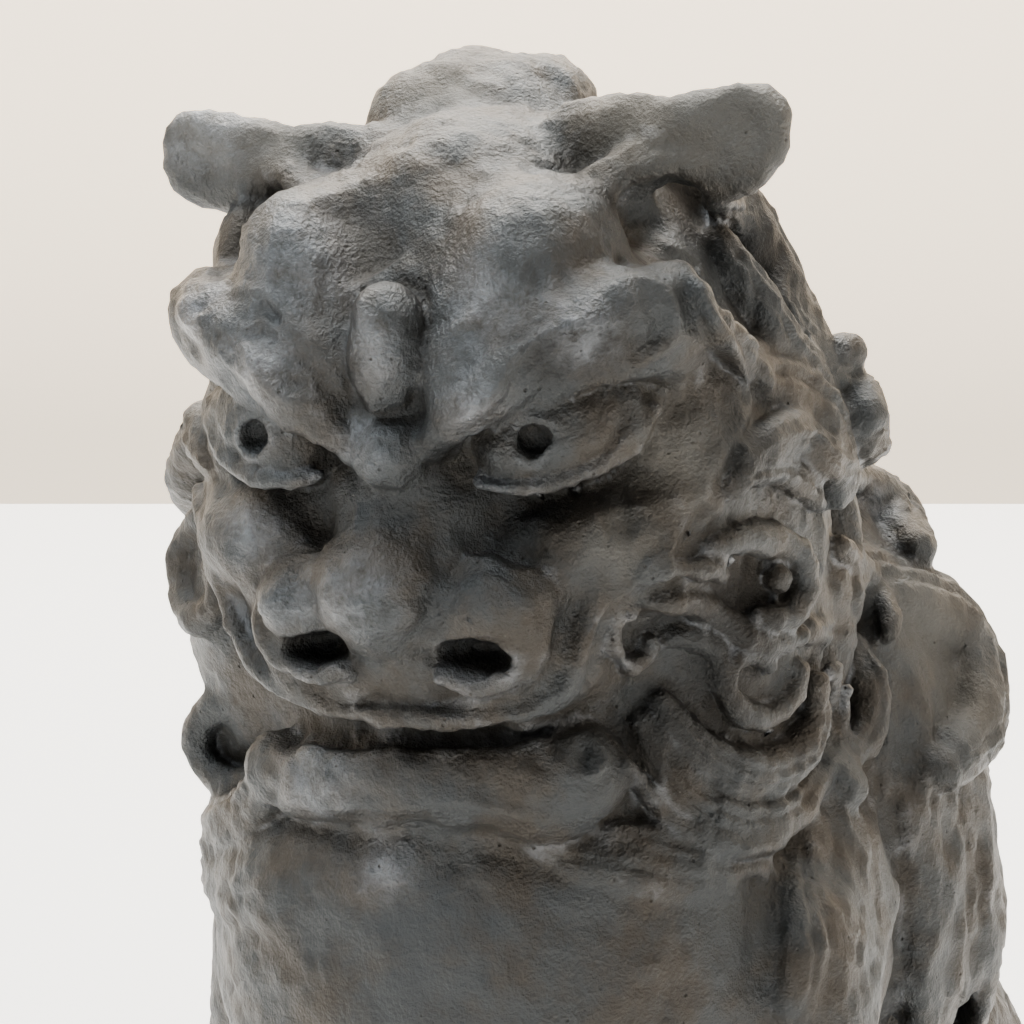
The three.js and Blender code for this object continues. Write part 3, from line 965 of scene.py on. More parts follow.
    def masses(self) -> list[Egg]:
        """Skull, muzzle, jaw and the body of the mane.

        Returns:
            The masses, then the hollows of the eyes.
        """
        eggs = [
            ((0, -1, 16), (27, 27, 27)),
            ((0, -6, 33), (14, 17, 11)),
            ((0, -12.5, 24), (19, 15.5, 12)),
            ((0, -21, 3), (10, 10.5, 14)),
            ((-0.8, -28, -3), (7, 9, 6)),
            ((0, -19, -8), (18, 12, 9)),
            ((0, -23, -11), (14, 8.2, 6)),
            ((0, -12, -22), (21, 13, 8)),
            ((0, -13, -31), (21, 13, 8)),
            self.coat,
            ((-26, 2, -10), (14, 18, 24)),
            ((-9.5, 3, 42), (7, 9, 7.5)),
            ((-24, -12.5, 29.5), (4.5, 5, 6)),
        ]
        for s in SIDES:
            eggs += [
                ((11.5 * s, -20, 28.5), (9, 10.5, 8.5)),
                ((13 * s, -24.5, 21.5), (8.5, 7.5, 6.5)),
                ((7.5 * s, -26, 18), (5.5, 6.8, 6.5)),
                ((22 * s, -18, 22), (7, 7, 5)),
                ((17 * s, -18, 0), (11, 10.5, 7.5)),
                ((24 * s, -9, 9), (7, 12, 14)),
                ((10.5 * s, -22, -9), (9, 8.5, 7.5)),
                ((10 * s, -29, -4.5), (5.5, 5.5, 4.5)),
            ]
        made = [Egg(c, r, reach=self.reach) for c, r in eggs]
        sockets = [Egg((15.5 * s, -32, 12), (11, 6, 5.5), reach=2, kind=Kind.CUT) for s in SIDES]
        corners = [Egg((8.6 * s, -33.6, 9.4), (3.4, 3.4, 2.4), reach=1.6, kind=Kind.CUT) for s in SIDES]
        return made + sockets + corners

    def eyes(self, side: int) -> list[Egg | Strand]:
        """Eyeball and its lower lid.

        Args:
            side: 1 for the figure's left, -1 for its right.

        Returns:
            The shapes of one eye.
        """
        hub = (15.8 * side, -18, 12.6)
        lower = [(7, -30, 8.8), (11, -30.8, 7.8), (16, -29.9, 8), (21.5, -26.6, 10.2), (24.8, -22, 15)]
        return [
            Egg((15.8 * side, -23.6, 12.6), (9.5, 6.8, 5.6), reach=0.4, turn=(-20 * side, 34 * side)),
            hubbed(mirrored(lower, side), self.frame, hub, [0.6, 0.8, 0.9, 0.9, 0.8], reach=1.8),
        ]

    def brow(self, side: int) -> list[Egg | Strand]:
        """Brow in two layers, the upper one overhanging, and the knob at its outer end.

        Args:
            side: 1 for the figure's left, -1 for its right.

        Returns:
            The shapes of one brow.
        """
        crest = [(3.6, -30.8, 10.8), (7, -32, 14), (11, -32.4, 16.4), (13.4, -31.6, 19.4)]
        crest += [(17.5, -29.6, 22.2), (21.5, -26.8, 24), (24.8, -22.2, 24.8)]
        under = [(10, -29.6, 13.6), (14, -29.4, 16.4), (18.5, -27.8, 19), (23, -23.8, 20.4),
            (26.4, -18.6, 19.6)]
        return [
            hubbed(mirrored(crest, side), self.frame, self.front, [1.2, 2, 2.3, 2.3, 2.4, 3, 3.8], reach=3),
            hubbed(mirrored(under, side), self.frame, self.front, [1.6, 2.2, 2.7, 2.9, 2.4], reach=1.4),
            Egg((25 * side, -21, 24.2), (4.4, 4.4, 4.6), reach=2.2),
        ]

    def nose(self) -> list[Egg | Strand]:
        """Knot at its root, forehead jewel, tip, wings and the rims under the nostrils.

        Returns:
            The shapes of the nose.
        """
        shapes: list[Egg | Strand] = [
            Egg((0, -27.4, 14.6), (5, 3.8, 4), reach=2),
            Egg((0, -31.2, 10.6), (3.6, 2.7, 3.2), reach=1.4),
            Egg((0, -30, 21), (4.2, 4.3, 6.7), reach=0.5),
            Egg((-1.4, -31.8, -2.6), (6, 4.8, 5.4), reach=3),
            Egg((-11.4, -32, -4.2), (2.7, 3.2, 3), reach=0.9),
            Egg((10.8, -30.2, -4), (5.4, 4.2, 4.4), reach=1.4),
        ]
        rim = [(14.8, -30, -5.5), (14, -31, -9.4), (9.6, -32.2, -11.8), (4.8, -32.8, -10.8)]
        for s in SIDES:
            shapes.append(hubbed(mirrored(rim, s), self.frame, self.front, [1.2, 1.1, 0.9, 0.7], reach=1.8))
        return shapes

    def lips(self) -> list[Egg | Strand]:
        """Rim of the upper lip, broad lower lip and its corners.

        Returns:
            The shapes of the lips.
        """
        right = [(-32, -14, 4), (-27, -20.5, -1), (-24, -22.6, -6), (-20.5, -25, -11), (-14, -28, -14.6)]
        left = [(0, -30.8, -15.6), (6, -30.8, -15.4), (13, -29, -14.2), (16.3, -27.6, -12.2)]
        left += [(17.8, -26.6, -8), (19.8, -25.4, -3), (24.5, -21.6, 0.5), (28, -16.5, 5)]
        lower = [(-19, -22.8, -25.8), (-13, -26.2, -25), (-5, -28.4, -23.8), (2, -28.6, -22.9)]
        lower += [(8, -28, -23.2), (12.6, -26, -23.8), (15.6, -24.2, -23.4), (17.6, -22.6, -22.2)]
        return [
            hubbed(right + left, self.frame, self.front, [0.9, 1.1, 1.3, 1.3, 1.3, 1.3, 1.3, 1.1, 0.9],
                reach=2),
            hubbed(lower, self.frame, (0, 8, -22), [4.2, 3.8, 3.1, 3.1, 3.7, 4.6, 4.6, 4], flat=0.62,
                reach=3.6),
            Egg((0, -18.6, -25.6), (18, 9.2, 5.4), reach=3.6),
            Egg((16.8, -22.6, -22.2), (4, 4.2, 4.4), reach=1.8),
            Egg((-19.5, -21, -25.2), (3.6, 4, 4), reach=1.6),
        ]

    def ear(self, side: int) -> list[Egg | Strand]:
        """Ear held out level: a leaf with a rolled edge, folded down in front of its opening.

        Args:
            side: 1 for the figure's left, -1 for its right.

        Returns:
            The shapes of one ear.
        """
        fall = 0 if side > 0 else 1.8
        leaf = [(8, -6, 37 - fall), (16, -8.4, 38.8 - fall), (23, -9.4, 39 - fall * 0.4),
            (28.6, -9.8, 39.4)]
        leaf.append((33, -10, 40.6))
        edge = [(27, -9.5, 35.4), (31.4, -11, 36.8), (33.8, -11.5, 39.6), (34, -11.5, 42.8)]
        edge += [(30.8, -11, 43.9), (24.6, -10.5, 42.3 - fall * 0.4), (17, -9, 42.3 - fall),
            (9, -7, 40.6 - fall)]
        fold = [(28, -9.5, 36.2), (24.5, -11.5, 37.4), (20.5, -13, 38), (17, -14.5, 36), (16.2, -15.8, 33),
            (18, -17, 30)]
        behind = (22 * side, 60, 40)
        return [
            hubbed(mirrored(leaf, side), self.frame, behind, [5.4, 5.4, 4.8, 4.4, 3.8], flat=0.62,
                reach=2.4),
            hubbed(mirrored(edge, side), self.frame, behind, [1.3, 1.5, 1.5, 1.5, 1.7, 2, 2.4, 2.8],
                reach=2.6),
            hubbed(mirrored(fold, side), self.frame, behind, [1.2, 1.6, 1.9, 2.2, 1.8, 1.2], reach=2.6),
        ]

    def horn(self) -> list[Egg | Strand]:
        """Blunt horn lying back from the crown, higher along its right edge.

        Returns:
            The shapes of the horn.
        """
        body = [(-1, -4, 37), (-2, 3, 43), (-2, 10, 45), (-1, 18, 44.5)]
        rim = [(-3.5, -2, 41.4), (-6.5, 4, 46.8), (-5, 11, 46.8), (-4.5, 17, 45.6)]
        end = [(-4, 14, 48.4), (1.2, 16.5, 48), (2, 17.5, 43)]
        return [
            hubbed(body, self.frame, self.front, [12, 10.5, 9.5, 8.5], flat=0.6, reach=2.0),
            hubbed(rim, self.frame, self.front, [4, 4.2, 4.2, 3.4], reach=2.0),
            hubbed(end, self.frame, self.front, [2.2, 2.2, 2.6], reach=1.6),
        ]

    def hollows(self) -> list[Egg | Strand]:
        """Mouth, nostrils, pupils and the openings of the ears.

        Returns:
            The shapes that are cut out.
        """
        mouth = [(-15.5, -26.5, -18.2), (-8, -30, -18.4), (0, -31, -18.4), (8, -30, -18),
            (12.5, -28.5, -16.8), (15.4, -26.8, -15)]
        cuts: list[Egg | Strand] = [
            hubbed(mouth, self.frame, (0, -28, 40), [1, 1.6, 1.7, 1.6, 1.3, 0.9], reach=0.6, kind=Kind.CUT),
        ]
        for s in SIDES:
            cuts += [
                Egg((8.6 * s, -33.2, -8.6), (3.8, 5.4, 1.9), reach=0.7, turn=(8 * s, 0), kind=Kind.CUT),
                Egg((14.8 * s, -30.4, 12.4), (1.8, 1.7, 1.8), reach=0.7, kind=Kind.CUT),
            ]
        cuts += [
            Egg((22, -12, 33), (4.6, 6, 3.4), reach=1.2, turn=(-30, 0), kind=Kind.CUT),
            Egg((-20.5, -15.5, 35), (3.4, 3, 2.2), reach=1.2, turn=(30, 0), kind=Kind.CUT),
        ]
        return cuts

    def group(self) -> Group:
        """Everything of the head but its mane.

        Returns:
            The group.
        """
        shapes = [*self.masses(), *pair(self.brow), *pair(self.eyes), *self.nose(), *self.lips()]
        shapes += [*pair(self.ear), *self.horn()]
        return Group(shapes)

    def marks(self) -> list[Laid]:
        """Rings round the pupils and tool marks of the face, laid on the clay where they are seen.

        Returns:
            The marks, to be laid.
        """
        ring = [(math.cos(math.radians(a)), math.sin(math.radians(a))) for a in range(0, 361, 30)]
        rings = [[(x + wide * c, y + high * s) for c, s in ring] for x, y, wide, high in self.irises]
        drawn = [mark_seen(spots, 0.4, -0.5) for spots in rings]
        return drawn + [mark_seen(*mark) for mark in self.tool_marks]


@dataclass
class Mane:
    """Locks and curls of the mane: as seen on the figure's left, and round the rest of the head."""

    def seen_locks(self) -> list[Laid]:
        """Locks beside the face, on the side towards the eye.

        Returns:
            The locks, to be laid.
        """

        def lay(spots: Sequence[Spot], *sizes: object, **more: object) -> Laid:
            """Lock laid where it is seen."""
            return lock(seen(spots), *sizes, **more)

        return [
            # under the ear
            lay([(22.4, 34.9), (25.8, 32.5), (28, 29.1), (28.7, 24.3), (30, 20.4), (33.8, 17.2)],
                [1.4, 2.8, 3.2, 3, 2.6, 2.2], (-0.5, 0.6, 1.6), flat=0.8, grooves=(-0.35, 0.3)),
            lay([(21.5, 31.4), (24.2, 26.5), (26.7, 22.1), (29.1, 18.1), (31.8, 15.7)],
                [1.6, 2.6, 2.9, 2.6, 1.6], (0.4, 1.0, 1.8), grooves=(-0.2, 0.4)),
            lay([(20.2, 25.4), (22.4, 20.9), (25, 17), (27.6, 13.7)], [1.2, 2.0, 2.0, 1.2], (0.2, 0.6, 1.2),
                grooves=(0,)),
            lay([(30.7, 15.5), (34.9, 14.6), (37.9, 12.1), (38.5, 8.5), (37.4, 5.2)],
                [1.6, 2.8, 3.4, 3.2, 1.8], (1, 2.4, 2.6), grooves=(-0.3, 0.2)),
            # swept out behind the cheek
            lay([(23.5, 2.2), (26.1, 4.7), (29.1, 4.9), (31.6, 3.1), (33.6, 0.4)],
                [1.1, 1.7, 1.9, 1.7, 1.0], (0.3, 1.0), grooves=(0,)),
            lay([(24.6, 6), (27.8, 8.5), (31.1, 8.3), (33.6, 5.2), (36.5, 2.2), (39.4, 1.1)],
                [1.4, 2.2, 2.5, 2.4, 2.3, 2.1], (0.6, 1.8, 3), grooves=(-0.35, 0.3)),
            # curl with a bead
            lay([(21.1, -4), (24.2, -2.9), (27.8, -2.7), (30.7, -4.5), (31.8, -7.8), (30.7, -10.5),
                (28.2, -11.6), (25.8, -11)], [1.2, 1.7, 1.9, 1.9, 1.8, 1.6, 1.4, 1.0], (0.3, 1.2, 1.4),
                reach=0.9),
            lay([(14.3, -7.6), (17.5, -6.5), (21.1, -6), (23.5, -6.7)], [1.0, 1.5, 1.5, 1.0], (0.2, 0.6)),
            # strands between the mouth and the curl
            lay([(14.3, -10.3), (17.9, -9.6), (21.5, -10.5), (24.6, -13.2), (28.3, -14.6), (31.7, -13.4)],
                [0.9, 1.4, 1.6, 1.6, 1.5, 1.0], (0.2, 0.9)),
            lay([(16.6, -14.3), (19.9, -13.7), (22.4, -15.5), (23.5, -18.8)], [0.9, 1.4, 1.4, 1.0],
                (0.2, 0.7)),
            # small curl at the corner of the mouth
            lay([(14.3, -11.2), (11.4, -12.3), (10.8, -15), (12.8, -16.8), (15, -15.5), (14.8, -13.2)],
                [0.8, 1.0, 1.1, 1.1, 1.0, 0.8], (0.3, 0.7), reach=0.8),
            # crescents below the cheek
            lay([(16, -19.9), (18.8, -24.6), (22.7, -27.6), (26.9, -28.2), (30.5, -26.2), (32.5, -22.4),
                (32.7, -17.9)], [1.2, 2.0, 2.6, 2.8, 2.6, 2.1, 1.4], (0.3, 1.3, 1.5), grooves=(-0.3, 0.25),
                groove_width=0.16),
            lay([(13.9, -22.4), (16.6, -28.7), (20.5, -33.2), (25, -34.9), (29.5, -33.2), (32.5, -28.7),
                (33.8, -22.8), (33.6, -17)], [1.2, 2.4, 3.2, 3.4, 3.2, 2.8, 2.2, 1.2], (0.4, 2.0, 2.2),
                flat=0.8, grooves=(-0.25, 0.3), groove_width=0.14),
            lay([(12.3, -28), (15.5, -32.9), (19.7, -36.5), (25, -38.1), (30.2, -36.1), (33.6, -31.4),
                (34.9, -25.3), (34.5, -18.8)], [0.8, 1.1, 1.3, 1.3, 1.2, 1.1, 1.0, 0.7], (0.3, 2.4, 3.2),
                reach=0.8),
            # the spiral inside them
            lay([(31.8, -16.6), (30.7, -20.6), (28, -22.8), (24.9, -22), (23.3, -19), (24.2, -16.4),
                (26.7, -15.7), (28.2, -17.5)], [1.0, 1.4, 1.6, 1.5, 1.4, 1.2, 1.1, 0.9], (0.5, 1.0),
                reach=0.9),
            # behind them
            lay([(32, -13), (35.6, -14.1), (38.1, -17.5), (38.8, -22), (37.6, -26.4), (35.6, -30.2)],
                [1.5, 2.2, 2.5, 2.3, 1.9, 1.2], (0.8, 2.2, 2.6), grooves=(0,)),
            lay([(35.6, -3.7), (39, -7.6), (41.2, -11.5), (41.2, -14.6)], [1.4, 1.8, 1.6, 1.2], (0.6, 1.6)),
            # flat strands of the beard
            lay([(9.9, -35.6), (15.5, -37.6), (21.6, -39.2), (28.3, -39.2)], [1.2, 2.2, 2.2, 1.4],
                (0.1, 0.5), flat=0.6, grooves=(-0.3, 0.3)),
            lay([(3.1, -37.9), (9.9, -39.4), (17.7, -41), (24.4, -41.9)], [1.0, 1.8, 1.8, 1.2], (0.1, 0.3),
                flat=0.6, grooves=(0,)),
            # beads in the curl and at the tip of the long lock
            bead((28.7, -7.2), 1.7, 1.0),
            bead((35.2, 17.2), 2.5, 2.4),
        ]

    def far_locks(self) -> list[Laid]:
        """Locks beside the face on the figure's right, where only their outline is seen.

        Returns:
            The locks, to be laid.
        """

        def lay(spots: Sequence[Spot], *sizes: object, **more: object) -> Laid:
            """Lock laid round the head."""
            return lock(around(spots, -1), *sizes, **more)

        return [
            lay([(110, 28), (104, 22), (97, 17)], [3, 3.8, 3.4], (0, 6)),
            lay([(76, 16), (88, 12), (94, 5)], [3, 4.8, 3.6], (0, 5), grooves=(-0.3, 0.3)),
            lay([(45, 7), (56, 10), (66, 8.5), (76, 3), (86, -1), (96, 1)], [2, 3.2, 3.6, 3.4, 3, 2.6],
                (-1, 2, 5.5), grooves=(-0.3, 0.3)),
            lay([(57, 1), (64, -2), (64, -8), (57, -11), (50, -8), (51, -3)], [1.6, 2.1, 2.2, 2.0, 1.6],
                (0, 0.6)),
            lay([(80, -3), (91, -9), (96, -17)], [3, 3.6, 2.2], (0, 4), grooves=(0,)),
            lay([(28, -22), (42, -31), (64, -37), (86, -34)], [2, 3.6, 4.2, 2.4], (-1, 0.6, 0.6),
                grooves=(-0.4, 0.3)),
            lay([(2, -34), (30, -36.5), (60, -40), (86, -41)], [4, 5.5, 5, 3], (-2, 1), flat=0.6,
                grooves=(-0.4, 0, 0.4)),
        ]

    def back_locks(self, side: int) -> list[Laid]:
        """Broad locks hanging round the back of the head.

        Args:
            side: 1 for the figure's left, -1 for its right.

        Returns:
            The locks, to be laid.
        """
        shapes: list[Laid] = []
        for z, first, last, drop in ((30, 126, 180, 20), (9, 112, 168, 22)):
            angle = first + 7.0
            while angle < last:
                spots = [(angle, z + 7), (angle + 9, z - drop * 0.3), (angle + 4.5, z - drop * 0.8),
                    (angle - 9, z - drop)]
                shapes.append(
                    lock(around(spots, side), [4, 8, 7.5, 2.5], (-2, 2.5), flat=0.75,
                        grooves=(-0.5, -0.05, 0.4), groove_width=0.13, depth=0.7)
                )
                angle += 28
        for spots, widths in (
            ([(64, 41), (84, 37), (98, 30), (102, 17)], [4.5, 6.5, 6, 3.5]),
            ([(60, 17), (76, 15), (90, 10), (97, 0)], [3.5, 5, 5.5, 3]),
            ([(100, -8), (112, -16), (108, -28), (96, -34)], [4, 6, 5.5, 2.5]),
            ([(124, -10), (136, -20), (130, -32), (118, -36)], [4, 6.5, 5.5, 2.5]),
        ):
            shapes.append(lock(around(spots, side), widths, (-1.5, 1.5), flat=0.75, grooves=(-0.4, 0.1),
                groove_width=0.14, depth=0.6))
        return shapes

    def bowl(self) -> list[Egg | Strand]:
        """Open curl that stands out below the cheek on the figure's right.

        Returns:
            The shapes of the curl.
        """
        line = [(-24, -10, -21), (-30, -10, -20.8), (-35, -9.5, -23), (-37, -9, -27.2), (-35, -9, -30.6)]
        line += [(-31, -10, -31.6), (-26, -11, -30)]
        return [
            hubbed(line, HEAD_FRAME, (-30, 10, -26), [2.6, 2.4, 2, 1.9, 2, 2.2, 2.4], reach=1.3),
            Egg((-31, -5.5, -26), (6, 3, 5), reach=1.2),
        ]

    def shapes(self, clay: Clay) -> list[Egg | Strand]:
        """All of the mane, laid on the clay."""
        return laid(clay, pair(self.back_locks) + self.far_locks() + self.seen_locks()) + self.bowl()


@dataclass
class Body:
    """Chest, back, legs, paws and tail.

    Args:
        hump: middle and half-axes of the shoulders.
        reach: how widely its masses run into each other.
        tool_marks: ridges and grooves of the hair on the shoulder, as seen.
    """

    hump: tuple[Point, Point] = ((0, 46, -36), (38.5, 32.5, 36.5))
    reach: float = 6.0
    tool_marks: Sequence[Mark] = (
        ([(41.2, -14.3), (41.2, -25.5), (40.5, -34.5), (39.6, -44.6)], 1.1, -0.6),
        ([(46.8, -18.8), (46.6, -27.8), (44.8, -36.7), (41.9, -46.8), (39.9, -54.7)], 1.2, -0.7),
        ([(44, -15.5), (44.1, -24.4), (43, -32.3), (41.2, -41.2)], 1.4, 0.5),
        ([(50.4, -34.5), (49.1, -42.3), (45.7, -50.2)], 1.2, -0.6),
        ([(37.9, -27.8), (36.5, -37.9), (37, -44)], 0.7, 0.5),
        ([(32.9, -37.3), (32.9, -44)], 0.5, 0.6),
        ([(37.3, -56.9), (38.8, -50.2), (39.2, -43.5)], 0.8, 0.4),
    )

    def masses(self) -> list[Egg]:
        """Chest, shoulders, back, belly and thighs.

        Returns:
            The masses.
        """
        eggs = [
            ((0, -2, -50), (34, 30, 36)),
            ((0, 10, -22), (27, 27, 22)),
            self.hump,
            ((0, 44, -54), (37.6, 31.6, 28)),
            ((0, 34, -60), (24, 34, 24)),
            ((0, 58, -68), (34, 31, 40)),
            ((0, 62, -96), (26, 27, 30)),
        ]
        for s in SIDES:
            eggs += [((29 * s, 15, -50), (11, 15, 20)), ((29.5 * s, 62, -95), (16, 28, 27))]
        return [Egg(c, r, BODY_FRAME, self.reach) for c, r in eggs]

    def cape(self, side: int) -> list[Egg | Strand]:
        """Long locks over the shoulder and down the back.

        Args:
            side: 1 for the figure's left, -1 for its right.

        Returns:
            One lock after the other, from the chest to the back.
        """
        (cx, cy, _), (rx, ry, _) = self.hump
        shapes: list[Egg | Strand] = []
        for i in range(5):
            angle = 52 + 27 * i
            path = []
            for turn, z, wide in ((6, -4, 0.48), (4, -22, 0.8), (1, -41, 0.96), (-4, -59, 1.06),
                (-12, -74, 1.06)):
                t = math.radians((angle + turn) * side)
                path.append((cx + (rx * wide + 1) * math.sin(t), cy - (ry * wide + 1) * math.cos(t), z))
            shapes.append(
                hubbed(
                    path, BODY_FRAME, self.hump[0], [4, 9, 10.5, 9, 2.5], flat=0.36, reach=5.0,
                    grooves=(-0.5, -0.1, 0.35), groove_width=0.14, depth=0.5,
                )
            )
        return shapes

    def foreleg(self, side: int) -> list[Egg | Strand]:
        """Foreleg with the hair at its elbow and a small lock on the shoulder.

        Args:
            side: 1 for the figure's left, -1 for its right.

        Returns:
            The shapes of one foreleg.
        """
        leg = mirrored([(26, 7, -36), (29.5, 4, -54), (31.5, 3, -74), (33, -1, -98), (33, -5, GROUND + 10)],
            side)
        elbow = mirrored([(36, 12, -78), (37, 20, -76), (37.5, 25, -68)], side)
        shoulder = mirrored([(33, 2, -38), (36.5, -3, -43), (36.5, -5, -49), (33, -6, -55)], side)
        return [
            hubbed(leg, BODY_FRAME, (0, 3, -70), [13, 12.8, 12, 10.8, 10.5], reach=2.5),
            hubbed(elbow, BODY_FRAME, (20 * side, 4, -76), [4, 3.6, 1], reach=1.5, grooves=(-0.3, 0.3)),
            hubbed(shoulder, BODY_FRAME, (20 * side, 4, -50), [2, 3, 2.8, 1], flat=0.8, reach=0.8,
                grooves=(0,)),
        ]

    def paw(self, centre: Spot, size: Point, toe: float) -> Group:
        """Paw with four toes and their claws.

        Args:
            centre: x and y of its middle.
            size: half-width, half-length and height.
            toe: half-width of a toe.

        Returns:
            The paw.
        """
        (x, y), (wide, long, high) = centre, size
        shapes: list[Egg | Strand] = [
            Egg((x, y, GROUND + high * 0.55), (wide, long * 0.85, high), BODY_FRAME, 0.8),
        ]
        for share in (-1, -1 / 3, 1 / 3, 1):
            tx = x + (wide - toe * 0.5) * share
            ty = y - long * 0.75 + abs(share) * 3
            shapes.append(Egg((tx, ty, GROUND + toe * 0.9), (toe * 0.9, 7, toe * 1.6), BODY_FRAME, 0.8))
            shapes.append(Egg((tx, ty - 6.2, GROUND + toe * 0.55), (toe * 0.34, 2.2, toe * 0.62),
                BODY_FRAME, 0.4))
        return Group(shapes, 0.8)

    def hind_leg(self, side: int) -> list[Egg | Strand]:
        """Hind foot."""
        foot = mirrored([(35, 72, GROUND + 8), (37, 56, GROUND + 8), (37, 42, GROUND + 7)], side)
        return [hubbed(foot, BODY_FRAME, (37 * side, 56, GROUND - 20), [9, 9.5, 8], flat=0.85, reach=1.5)]

    def tail(self) -> list[Egg | Strand]:
        """Upright flame tail with two smaller flames on each side.

        Returns:
            The stem and its flames.
        """
        hub = (0, 20, -70)
        stem = [(0, 82, -108), (0, 92, -92), (0, 93, -72), (0, 88, -52), (0, 91, -34)]
        shapes: list[Egg | Strand] = [
            hubbed(stem, BODY_FRAME, hub, [8, 11, 11, 8, 1.6], flat=0.7, reach=1.5, grooves=(-0.5, 0, 0.5),
                groove_width=0.12, depth=0.9),
        ]
        for s in SIDES:
            for z, reach, lift in ((-86, 18, 14), (-68, 15, 16)):
                path = [(3 * s, 91, z - 6), (reach * 0.6 * s, 92, z - 3), (reach * s, 92, z + lift * 0.4),
                    (reach * 0.9 * s, 94, z + lift)]
                shapes.append(hubbed(path, BODY_FRAME, hub, [4, 4.6, 3.6, 1], flat=0.7, reach=1.2,
                    grooves=(0,), groove_width=0.25, depth=0.7))
        return shapes

    def groups(self) -> list[Group]:
        """The body and its paws.

        Returns:
            The groups, the body first.
        """
        shapes = [*self.masses(), *pair(self.cape), *pair(self.foreleg), *pair(self.hind_leg), *self.tail()]
        paws = [self.paw((33 * s, -12), (12.5, 16, 11), 4.2) for s in SIDES]
        paws += [self.paw((37 * s, 42), (11.5, 15, 10), 3.9) for s in SIDES]
        return [Group(shapes), *paws]

    def marks(self) -> list[Laid]:
        """Long soft ridges of the hair on the shoulder, laid where they are seen."""
        return [mark_seen(*mark) for mark in self.tool_marks]


@dataclass
class Base:
    """Low base with rounded corners.

    Args:
        width, depth, height: its size.
        corner: radius of its upright corners.
        chamfer: how far its level edges are rounded.
        reach: how widely it runs into what it meets.
        kind: what it does to the clay.
    """

    width: float = 112
    depth: float = 150
    height: float = BASE_HEIGHT
    corner: float = 16
    chamfer: float = 1.4
    reach: float = 1.0
    kind: Kind = Kind.ADD

    def __post_init__(self) -> None:
        """Works out its box."""
        self.low = np.array([-self.width / 2, -self.depth / 2, 0])
        self.high = np.array([self.width / 2, self.depth / 2, self.height])

    def build(self, bm: bmesh.types.BMesh) -> None:
        """Adds its mesh: a block with its corners and then its edges rounded.

        Args:
            bm: what it is added to.
        """
        size = Matrix.Diagonal((self.width, self.depth, self.height, 1))
        place = Matrix.Translation((0, 0, self.height / 2)) @ size
        made = bmesh.ops.create_cube(bm, size=1, matrix=place)["verts"]
        edges = {e for v in made for e in v.link_edges}
        upright = [e for e in edges if abs(e.verts[0].co.z - e.verts[1].co.z) > 1]
        more = {"affect": "EDGES", "profile": 0.5, "material": -1}
        bmesh.ops.bevel(bm, geom=upright, offset=self.corner, segments=10, **more)
        sharp = [e for e in bm.edges if e.calc_face_angle(0) > 1.2]
        level = [e for e in sharp if abs(e.verts[0].co.z - e.verts[1].co.z) < 0.01]
        bmesh.ops.bevel(bm, geom=level, offset=self.chamfer, segments=3, **more)

    def distance(self, p: np.ndarray) -> np.ndarray:
        """Distance outside it.

        Args:
            p: rows of points in the row frame.

        Returns:
            One distance for each row.
        """
        half = np.array([self.width, self.depth]) / 2 - self.corner
        flat = np.maximum(np.abs(p[:, :2]) - half, 0)
        inside = np.minimum((np.abs(p[:, :2]) - half).max(1), 0)
        side = np.linalg.norm(flat, axis=1) + inside - self.corner
        up = np.abs(p[:, 2] - self.height / 2) - self.height / 2
        r = self.chamfer
        q = np.maximum(np.stack([side + r, up + r], 1), 0)
        return np.minimum(np.maximum(side + r, up + r), 0) + np.linalg.norm(q, axis=1) - r


@dataclass(frozen=True)
class Relief:
    """How finely the clay is worked.

    Args:
        rough: voxel of the first mesh.
        fine: voxel of the second mesh.
        face: whether the face is divided once more.
        triangles: how many the finished mesh keeps.
    """

    rough: float
    fine: float
    face: bool
    triangles: int


FULL = Relief(rough=1.0, fine=0.72, face=True, triangles=196000)


